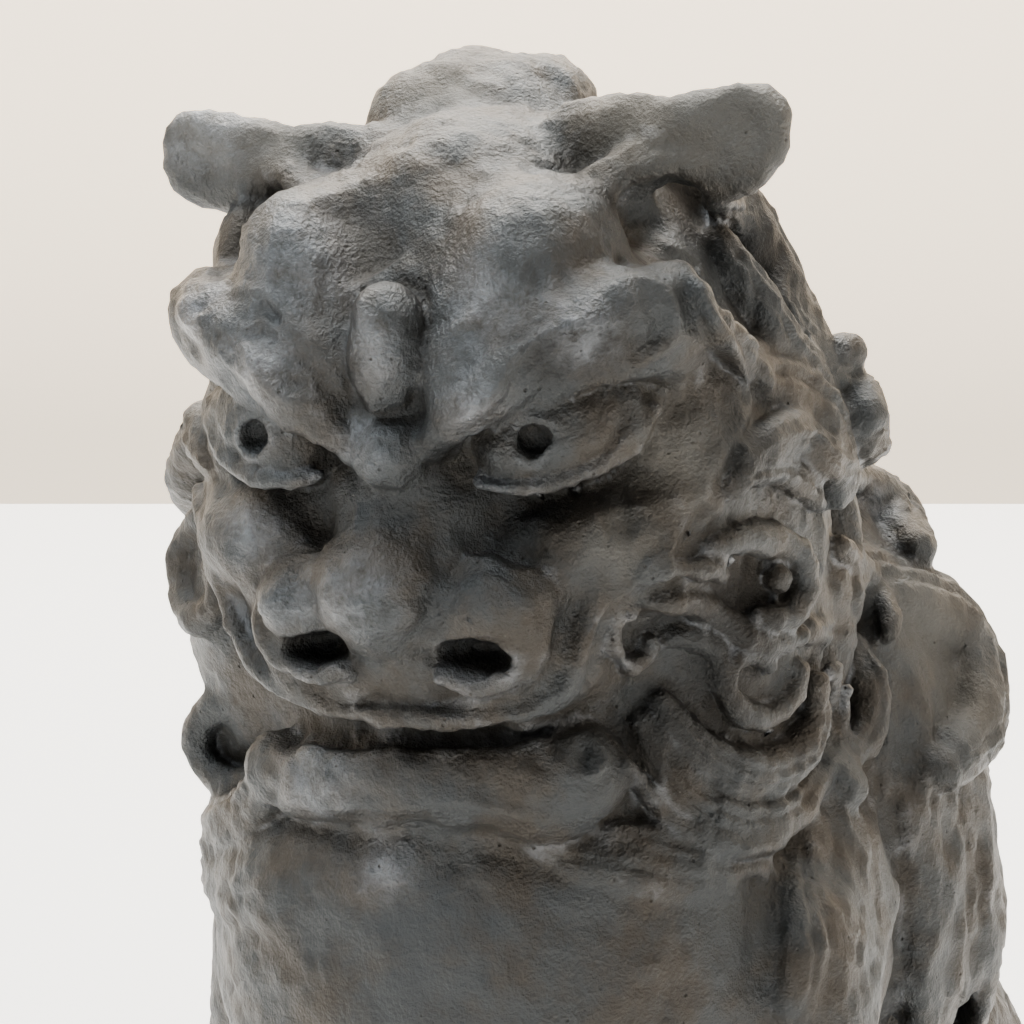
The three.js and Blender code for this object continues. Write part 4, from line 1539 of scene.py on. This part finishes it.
@dataclass
class Komainu:
    """The casting: models the figure and its base and gives the mesh its wear, and the places of its painted
    highlights, light and shade.

    Args:
        head, mane, body, base: what is modelled.
        room: lowest and highest corner of the solid's box.
        clear: how far the relief stays inside that box.
        face_low, face_back: lowest and hindmost place of the faces that are divided.
        hollows, edges: how far from the skin shelter and exposure are measured.
        highlight_and_wear_spots: places seen where highlights are painted on iron rubbed bright, and how far
            each spreads.
        painted_light_spots: places seen where light is painted on lit tops, as a pale bloom.
        painted_shade_spots: places seen where shade is painted darkest.
    """

    head: Head = field(default_factory=Head)
    mane: Mane = field(default_factory=Mane)
    body: Body = field(default_factory=Body)
    base: Base = field(default_factory=Base)
    room: tuple[Point, Point] = ((-56, -75, 0), (56, 75, 182.6))
    clear: float = 0.06
    face_low: float = 84
    face_back: float = 4
    hollows: tuple[float, ...] = (0.7, 1.6, 3.2)
    edges: tuple[float, ...] = (0.7, 1.6)
    # places seen where highlights are painted over iron rubbed bright
    highlight_and_wear_spots: Sequence[tuple[Spot, float]] = (
        ((-18.7, -9.9), 4.5), ((-25.4, -10.4), 3.0), ((-16.1, 18.7), 4.0), ((-16.8, 6.7), 3.0),
        ((-25.4, 29.3), 6.0), ((-3.6, 24.3), 5.0), ((-4.7, 12), 3.5), ((8.2, 20.9), 3.5),
        ((-36.1, 22.6), 4.0), ((-30.5, 15.3), 5.0), ((-29.3, -0.9), 4.0), ((-34.9, 43.3), 6.0),
        ((-14.2, -39.6), 3.0), ((-22.6, -30), 5.0), ((40.1, 0.4), 3.0),
    )
    # painted light, mostly on the tops of the ears, the horn and the shoulder, where the light falls
    painted_light_spots: Sequence[tuple[Spot, float]] = (
        ((12.1, 43.9), 5.0), ((19.9, 43.9), 6.0), ((27.2, 45), 5.0), ((-34.4, 42.8), 6.0),
        ((-25.4, 42.6), 4.0), ((-8.1, 47.8), 5.0), ((46.8, -12.1), 6.0), ((50.2, -21.1), 5.0),
        ((17.9, 6), 4.5), ((12.1, -3.1), 3.5),
    )
    # places seen where shade is painted darkest, mostly in the mane beside the face
    painted_shade_spots: Sequence[tuple[Spot, float]] = (
        ((26.1, -17.1), 7.0), ((21.1, -9.9), 5.0), ((19.9, -25.5), 6.0), ((27.8, 4.7), 5.0),
        ((28.3, 28.2), 6.0), ((26.1, -8.7), 4.0), ((9.9, 18.7), 3.5), ((4.8, 17.2), 3.0),
        ((23.9, 14.8), 4.0), ((-6.4, 6.7), 3.5), ((14.3, -30), 4.0), ((-9.2, -25), 5.0),
        ((19.9, 32.5), 4.0),
    )

    def clay(self) -> Clay:
        """Models the figure in clay.

        Returns:
            The figure on its base, with its marks and its skin.
        """
        clay = Clay([self.head.group(), *self.body.groups()])
        clay.groups.insert(1, Group(self.mane.shapes(clay), 0.7))
        clay.cuts = self.head.hollows()
        clay.groups.append(Group([self.base], 1.2))
        LOG.info("clay: %d shapes", sum(len(g.shapes) for g in clay.groups))
        clay.marks = laid(clay, self.head.marks() + self.body.marks())
        clay.skin = [Wobble(0.15, 14, 5, seed=5), Wobble(0.09, 4.5, 1.5, seed=8)]
        return clay

    def cast(self, relief: Relief) -> bpy.types.Object:
        """Casts the clay as one closed mesh.

        Args:
            relief: how finely it is worked.

        Returns:
            The casting, at the origin, in metres.
        """
        clay = self.clay()
        mesh = clay.mesh("komainu_relief", relief.rough)
        LOG.info("first mesh: %d vertices", len(mesh.vertices))
        clay.settle(mesh, 8, marks=False)
        mesh = whole(remeshed(mesh, relief.fine))
        LOG.info("second mesh: %d vertices", len(mesh.vertices))
        if relief.face:
            mesh = self.divided(mesh)
            LOG.info("face divided: %d vertices", len(mesh.vertices))
        clay.settle(mesh, 3)
        self.trim(mesh)
        mesh = applied(mesh, "TRIANGULATE")
        share = min(1.0, relief.triangles / len(mesh.polygons))
        mesh = applied(mesh, "DECIMATE", ratio=share)
        LOG.info("kept: %d triangles", len(mesh.polygons))
        self.wear_and_painted_light(mesh, clay)
        mesh.transform(Matrix.Scale(MM, 4))
        mesh.shade_smooth()
        mesh.name = "komainu_relief"
        return shown("komainu_relief", mesh)

    def trim(self, mesh: bpy.types.Mesh) -> None:
        """Flattens what stands out of the solid's box.

        Args:
            mesh: what is trimmed.
        """
        low, high = (np.array(corner) for corner in self.room)
        move_corners(mesh, np.clip(corners_of(mesh), low + self.clear, high - self.clear))

    def divided(self, mesh: bpy.types.Mesh) -> bpy.types.Mesh:
        """The mesh with the faces of the head that look forwards divided in four.

        Args:
            mesh: what is divided. It is removed.

        Returns:
            The new mesh.
        """
        bm = bmesh.new()
        bm.from_mesh(mesh)
        bpy.data.meshes.remove(mesh)
        *_, back = eye_axes()
        way = Vector(back)
        turned = [(f, f.calc_center_median()) for f in bm.faces if f.normal.dot(way) > -0.1]
        face = [f for f, at in turned if at.z > self.face_low and at.y < self.face_back]
        edges = {e for f in face for e in f.edges}
        bmesh.ops.subdivide_edges(bm, edges=list(edges), cuts=1, use_grid_fill=True)
        return finished(bm, "komainu_relief")

    @staticmethod
    def spread(clay: Clay, p: np.ndarray, places: Sequence[tuple[Spot, float]]) -> np.ndarray:
        """How strongly each point lies under the named places, from 0 to 1.

        Args:
            clay: what the places lie on.
            p: rows of points in the row frame.
            places: where each is seen, and how far it spreads.

        Returns:
            One share for each row.
        """
        found = clay.touch([seen([spot]) for spot, _ in places])
        total = np.zeros(len(p))
        for (at, _), (_, size) in zip(found, places):
            total += np.exp(-((p - at[0]) ** 2).sum(1) / size**2)
        return np.minimum(total, 1)

    def wear_and_painted_light(self, mesh: bpy.types.Mesh, clay: Clay) -> None:
        """Writes to each vertex how sheltered and exposed it is, and how strongly it lies under the places
        of painted highlight on rubbed iron, of painted light and of painted shade, from 0 to 1.

        Args:
            mesh: what is written to.
            clay: what it was worked from.
        """
        p, out = corners_of(mesh), outs_of(mesh)
        sheltered = np.zeros(len(p))
        exposed = np.zeros(len(p))
        for reach in self.hollows:
            open_share = clay.depth(p + reach * out, 5.0, reach < 1) / reach
            sheltered += np.clip(1 - open_share, 0, 1.5) / len(self.hollows)
        for reach in self.edges:
            buried_share = -clay.depth(p - reach * out, 2.5, reach < 1) / reach
            exposed += np.clip(1 - buried_share, 0, 1) / len(self.edges)
        kinds = {"sheltered": sheltered, "exposed": exposed}
        # places of painted highlights, painted light and painted shade
        for name in ("highlight_and_wear_spots", "painted_light_spots", "painted_shade_spots"):
            kinds[name] = self.spread(clay, p, getattr(self, name))
        for name, values in kinds.items():
            layer = mesh.attributes.new(name, "FLOAT", "POINT")
            layer.data.foreach_set("value", values.astype(np.float32))


class Nodes:
    """A shader node tree that is put together by name."""

    def __init__(self, tree: bpy.types.NodeTree) -> None:
        """Starts with an empty tree."""
        self.tree = tree
        tree.nodes.clear()

    @classmethod
    def group(cls, name: str, inputs: Sequence[str]) -> tuple[Nodes, object]:
        """Starts a node group.

        Args:
            name: its name.
            inputs: names of the numbers that it takes.

        Returns:
            The group's nodes, and the sockets that its inputs arrive at.
        """
        nodes = cls(bpy.data.node_groups.new(name, "ShaderNodeTree"))
        for one in inputs:
            nodes.tree.interface.new_socket(one, in_out="INPUT", socket_type="NodeSocketFloat")
        return nodes, nodes.add("NodeGroupInput").outputs

    def add(self, kind: str, inputs: dict | None = None, **settings: object) -> bpy.types.Node:
        """Adds a node.

        Args:
            kind: the node's type.
            inputs: a value or a socket to link for each input, by name or number.
            settings: its other settings.

        Returns:
            The node.
        """
        node = self.tree.nodes.new(kind)
        for key, value in settings.items():
            setattr(node, key, value)
        for key, value in (inputs or {}).items():
            socket = node.inputs[key]
            if isinstance(value, bpy.types.NodeSocket):
                self.tree.links.new(value, socket)
            else:
                socket.default_value = value
        return node

    def ramp(
        self, value: bpy.types.NodeSocket, stops: Sequence[tuple[float, float]]
    ) -> bpy.types.NodeSocket:
        """A value remapped smoothly through (place, grey) stops.

        Args:
            value: what is remapped.
            stops: places and greys, in order.

        Returns:
            The remapped value.
        """
        node = self.add("ShaderNodeValToRGB", {"Fac": value})
        node.color_ramp.interpolation = "EASE"
        while len(node.color_ramp.elements) < len(stops):
            node.color_ramp.elements.new(0.5)
        for element, (place, grey) in zip(node.color_ramp.elements, stops):
            element.position = place
            element.color = (grey, grey, grey, 1)
        return node.outputs["Color"]

    def math(self, operation: str, a: object, b: object, clamp: bool = False) -> bpy.types.NodeSocket:
        """Two numbers or sockets put through one operation."""
        return self.add("ShaderNodeMath", {0: a, 1: b}, operation=operation, use_clamp=clamp).outputs[0]

    def plus(self, a: object, b: object, clamp: bool = False) -> bpy.types.NodeSocket:
        """The sum of two numbers or sockets."""
        return self.math("ADD", a, b, clamp)

    def times(self, a: object, b: object, clamp: bool = False) -> bpy.types.NodeSocket:
        """The product of two numbers or sockets."""
        return self.math("MULTIPLY", a, b, clamp)

    def above(self, value: object, level: float, gain: float) -> bpy.types.NodeSocket:
        """How far a value is above a level, times gain."""
        return self.times(self.math("SUBTRACT", value, level), gain)

    def written(self, name: str) -> bpy.types.NodeSocket:
        """What the mesh has written to its vertices under a name."""
        return self.add("ShaderNodeAttribute", attribute_name=name).outputs["Fac"]

    def noise(self, place: object, scale: object, detail: float, rough: float) -> bpy.types.NodeSocket:
        """Cloudy noise."""
        given = {"Vector": place, "Scale": scale, "Detail": detail, "Roughness": rough}
        return self.add("ShaderNodeTexNoise", given).outputs[0]

    def dots(self, place: object, scale: object) -> bpy.types.NodeSocket:
        """Distance from the nearest of many scattered points."""
        return self.add("ShaderNodeTexVoronoi", {"Vector": place, "Scale": scale}).outputs[0]

    def result(self, outputs: dict) -> bpy.types.NodeTree:
        """Gives sockets out of the node group by name.

        Args:
            outputs: the socket for each name.

        Returns:
            The node group.
        """
        for name in outputs:
            self.tree.interface.new_socket(name, in_out="OUTPUT", socket_type="NodeSocketFloat")
        self.add("NodeGroupOutput", outputs)
        return self.tree

    def mix(self, share: object, a: object, b: object) -> bpy.types.NodeSocket:
        """Two colours, or sockets with them, mixed by the share of the second."""
        return self.add("ShaderNodeMix", {0: share, 6: a, 7: b}, data_type="RGBA").outputs[2]


@dataclass(frozen=True)
class CastIron:
    """Dark grey iron from a sand mould, with a thin brown patina, rubbed high places with painted
    highlights, painted light on lit tops and painted shade in the hollows.

    Args:
        skin: colour of the plain skin.
        brown: colour of the patina in mottled patches.
        rubbed_and_highlight: colour of high places where the iron is rubbed bright, and of the highlights
            painted there.
        dust_and_light: colour of the dust in the hollows and of the painted light on lit tops.
        painted_shade_colour: colour of the painted shade in the hollows and at the painted shade spots.
        pit, speck: colours of the pits and of the pale specks.
        roughness: of the plain skin.
        metal: how much of the skin answers light as bare metal.
        gloss: strength of the highlights on the rest.
        relief: height of the grain's bumps, in metres.
        grain: size of one grain of the sand, in mm.
    """

    skin: tuple = (0.050, 0.053, 0.054, 1)
    brown: tuple = (0.052, 0.046, 0.039, 1)
    # painted highlights, also the colour of rubbed iron
    rubbed_and_highlight: tuple = (0.40, 0.43, 0.47, 1)
    # dust in the hollows, and painted light on lit tops
    dust_and_light: tuple = (0.16, 0.150, 0.132, 1)
    # painted shade
    painted_shade_colour: tuple = (0.010, 0.0085, 0.007, 1)
    pit: tuple = (0.03, 0.027, 0.025, 1)
    speck: tuple = (0.3, 0.29, 0.27, 1)
    roughness: float = 0.31
    metal: float = 0.78
    gloss: float = 0.3
    relief: float = 0.0006
    grain: float = 0.45

    def grain_group(self) -> bpy.types.NodeTree:
        """Sand grain of the casting as a height, with pits and specks as masks.

        Returns:
            The node group.
        """
        nodes, given = Nodes.group("sand_grain", ["Grains per metre"])
        per_metre = given[0]
        place = nodes.add("ShaderNodeTexCoord").outputs["Object"]
        fine = nodes.noise(place, per_metre, 4.0, 0.62)
        coarse = nodes.noise(place, nodes.times(per_metre, 0.16), 3.0, 0.55)
        mottle = nodes.noise(place, nodes.times(per_metre, 0.05), 5.0, 0.6)
        pits = nodes.ramp(nodes.dots(place, nodes.times(per_metre, 0.28)), [(0.0, 1.0), (0.16, 0.0)])
        pits = nodes.times(pits, nodes.ramp(coarse, [(0.5, 0.0), (0.62, 1.0)]))
        specks = nodes.ramp(nodes.dots(place, nodes.times(per_metre, 0.42)), [(0.0, 1.0), (0.09, 0.0)])
        specks = nodes.times(specks, nodes.ramp(mottle, [(0.52, 0.0), (0.66, 1.0)]))
        height = nodes.plus(nodes.times(fine, 0.55), nodes.times(coarse, 0.9))
        height = nodes.math("SUBTRACT", height, nodes.times(pits, 0.55))
        return nodes.result({"Height": height, "Pits": pits, "Specks": specks, "Mottle": mottle})

    def wear_light_and_shade_group(self) -> bpy.types.NodeTree:
        """Masks of rubbed edges with painted highlights, of dust with painted light, and of painted shade,
        from how exposed and sheltered a place is and the places written to it.

        Returns:
            The node group.
        """
        nodes, given = Nodes.group("wear_light_and_shade", ["Mottle", "Height"])
        mottle, height = given["Mottle"], given["Height"]
        sheltered, exposed, highlight_and_wear_spots = (nodes.written(name) for name in ("sheltered", "exposed", "highlight_and_wear_spots"))
        # high places rubbed bright and painted with highlights, broken up by the grain
        broken = nodes.plus(exposed, nodes.above(mottle, 0.5, 1.1))
        broken = nodes.plus(broken, nodes.above(height, 0.7, 0.8))
        rubbed_and_highlight = nodes.times(nodes.ramp(broken, [(0.30, 0.0), (0.95, 1.0)]), 0.6)
        patchy = nodes.plus(nodes.above(height, 0.7, 2.2), nodes.above(mottle, 0.5, 1.6))
        highlight_and_wear_spots = nodes.times(highlight_and_wear_spots, nodes.plus(patchy, 0.45, clamp=True), clamp=True)
        rubbed_and_highlight = nodes.plus(rubbed_and_highlight, highlight_and_wear_spots, clamp=True)
        # dust in the hollows, and painted light on lit tops as a pale bloom
        dusty = nodes.plus(sheltered, nodes.above(mottle, 0.5, 0.9))
        dust_and_light = nodes.times(nodes.ramp(dusty, [(0.35, 0.0), (0.85, 1.0)]), 0.4)
        painted_light_bloom = nodes.times(nodes.written("painted_light_spots"), nodes.plus(mottle, 0.5))
        dust_and_light = nodes.plus(dust_and_light, painted_light_bloom, clamp=True)
        # painted shade in the hollows and at the painted shade spots
        shade = nodes.ramp(sheltered, [(0.22, 0.0), (0.78, 1.0)])
        shade = nodes.plus(shade, nodes.times(nodes.written("painted_shade_spots"), 0.8), clamp=True)
        return nodes.result({"RubbedAndHighlight": rubbed_and_highlight, "DustAndLight": dust_and_light, "Shade": shade})

    def material(self) -> bpy.types.Material:
        """The finish as a material.

        Returns:
            The material.
        """
        made = bpy.data.materials.new("cast_iron")
        made.use_nodes = True
        nodes = Nodes(made.node_tree)
        grain = nodes.add("ShaderNodeGroup", node_tree=self.grain_group())
        grain.inputs[0].default_value = 1000 / self.grain
        grain = grain.outputs
        wear_light_and_shade = nodes.add("ShaderNodeGroup", node_tree=self.wear_light_and_shade_group())
        for name in ("Mottle", "Height"):
            made.node_tree.links.new(grain[name], wear_light_and_shade.inputs[name])
        wear_light_and_shade = wear_light_and_shade.outputs
        mottled = nodes.ramp(grain["Mottle"], [(0.38, 0.0), (0.64, 1.0)])
        colour = nodes.mix(mottled, self.skin, self.brown)
        for mask, share, over in (
            # painted shade in the hollows
            (wear_light_and_shade["Shade"], 0.85, self.painted_shade_colour),
            # dust in the hollows and painted light on lit tops
            (wear_light_and_shade["DustAndLight"], 0.55, self.dust_and_light),
            # rubbed iron with painted highlights
            (wear_light_and_shade["RubbedAndHighlight"], 0.32, self.rubbed_and_highlight),
            (grain["Pits"], 0.5, self.pit),
            (grain["Specks"], 0.5, self.speck),
        ):
            colour = nodes.mix(nodes.times(mask, share), colour, over)
        rough = nodes.math("SUBTRACT", self.roughness + 0.12, nodes.times(wear_light_and_shade["RubbedAndHighlight"], 0.16))
        rough = nodes.plus(rough, nodes.times(wear_light_and_shade["DustAndLight"], 0.2), clamp=True)
        bump = {"Height": grain["Height"], "Strength": 1.0, "Distance": self.relief}
        normal = nodes.add("ShaderNodeBump", bump).outputs[0]
        skin = {"Base Color": colour, "Roughness": rough, "Metallic": self.metal, "Normal": normal}
        skin["Specular IOR Level"] = self.gloss
        shader = nodes.add("ShaderNodeBsdfPrincipled", skin)
        nodes.add("ShaderNodeOutputMaterial", {"Surface": shader.outputs[0]})
        return made


@dataclass
class Studio:
    """Pale table, pale wall, soft window light and the camera.

    Args:
        table, wall: their colours.
        table_end, wall_away: how far behind the figure the table ends and the wall stands, in metres.
        table_glow, wall_glow: how much light they give off themselves, as in a sunlit room.
        lamp_away: how far the lights stand from the figure, in metres.
        aim: the point that they are aimed at, in metres.
    """

    table: tuple = (0.86, 0.86, 0.85, 1)
    wall: tuple = (0.95, 0.80, 0.62, 1)
    table_end: float = 0.74
    wall_away: float = 1.0
    table_glow: float = 0.8
    wall_glow: float = 1.3
    lamp_away: float = 1.2
    aim: Point = (0, 0, 0.11)

    def sheet(
        self, name: str, size: tuple[float, float], place: Matrix, colour: tuple, glow: float
    ) -> None:
        """Adds a flat matt sheet of the stage, glowing a little as a sunlit room does.

        Args:
            name: its name.
            size: its width and depth.
            place: its middle and how it is turned.
            colour: its colour.
            glow: how much light it gives off.
        """
        bm = bmesh.new()
        scale = Matrix.Diagonal((size[0], size[1], 1, 1))
        bmesh.ops.create_grid(bm, x_segments=1, y_segments=1, size=0.5, matrix=place @ scale)
        mesh = finished(bm, name)
        made = bpy.data.materials.new(name)
        made.use_nodes = True
        nodes = Nodes(made.node_tree)
        given = {"Base Color": colour, "Roughness": 0.6}
        given |= {"Emission Color": colour, "Emission Strength": glow}
        shader = nodes.add("ShaderNodeBsdfPrincipled", given)
        nodes.add("ShaderNodeOutputMaterial", {"Surface": shader.outputs[0]})
        mesh.materials.append(made)
        shown(name, mesh)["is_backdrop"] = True

    def build(self) -> None:
        """Sets up the table and the wall behind it, square to the line of sight."""
        turned = Matrix.Rotation(EYE_AZIMUTH, 4, "Z")
        behind = turned @ Matrix.Translation((0, self.table_end - 1.5, 0))
        self.sheet("table", (4, 3), behind, self.table, self.table_glow)
        upright = Matrix.Translation((0, self.wall_away, 0.6)) @ Matrix.Rotation(math.pi / 2, 4, "X")
        self.sheet("wall", (6, 4), turned @ upright, self.wall, self.wall_glow)

    def light(
        self, name: str, azimuth: float, elevation: float, size: float, power: float, colour: tuple
    ) -> None:
        """Adds a square soft light, aimed at the figure.

        Args:
            name: its name.
            azimuth: degrees from the front, where the figure's left is positive.
            elevation: degrees above level.
            size: its side, in metres.
            power: in watts.
            colour: its colour.
        """
        back = Vector(direction(math.radians(azimuth), math.radians(elevation)))
        lamp = bpy.data.lights.new(name, "AREA")
        lamp.size, lamp.energy, lamp.color = size, power, colour
        obj = shown(name, lamp)
        obj.location = Vector(self.aim) + back * self.lamp_away
        obj.rotation_euler = back.to_track_quat("Z", "Y").to_euler()

    def lights(self) -> None:
        """Soft window on the left, warm fill on the right, pale room."""
        self.light("window", -42, 54, 0.55, 16, (0.92, 0.97, 1.0))
        self.light("fill", 110, 30, 1.0, 9, (1.0, 0.91, 0.80))
        self.light("ceiling", -150, 62, 1.0, 50, (1.0, 0.98, 0.94))
        world = bpy.data.worlds.new("room")
        bpy.context.scene.world = world
        world.use_nodes = True
        nodes = Nodes(world.node_tree)
        shade = nodes.add("ShaderNodeBackground", {"Color": (0.97, 0.95, 0.92, 1), "Strength": 0.22})
        nodes.add("ShaderNodeOutputWorld", {"Surface": shade.outputs[0]})

    def camera(self) -> None:
        """Puts the camera where the photograph was taken."""
        eye, right, up, back = eye_axes()
        lens = bpy.data.cameras.new("camera")
        lens.sensor_width = 36
        lens.lens = 18 / math.tan(EYE_FIELD / 2)
        lens.clip_start = 0.01
        turn = Matrix((right, up, back)).transposed().to_4x4()
        obj = shown("camera", lens)
        obj.matrix_world = Matrix.Translation(Vector(eye) * MM) @ turn
        bpy.context.scene.camera = obj


def main() -> None:
    """Builds the stage and the casting in order."""
    logging.basicConfig(level=logging.INFO, format="%(name)s: %(message)s")
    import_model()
    cad = [list(corner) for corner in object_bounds()]
    studio = Studio()
    studio.camera()
    studio.build()
    studio.lights()
    low, high = (tuple(float(v) / MM for v in corner) for corner in cad)
    casting = Komainu(room=(low, high)).cast(FULL)
    casting.data.materials.clear()
    casting.data.materials.append(CastIron().material())
    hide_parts("komainu")
    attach(casting, "root")
    LOG.info("%s: %d triangles", casting.name, len(casting.data.polygons))


if __name__ == "__main__":
    main()
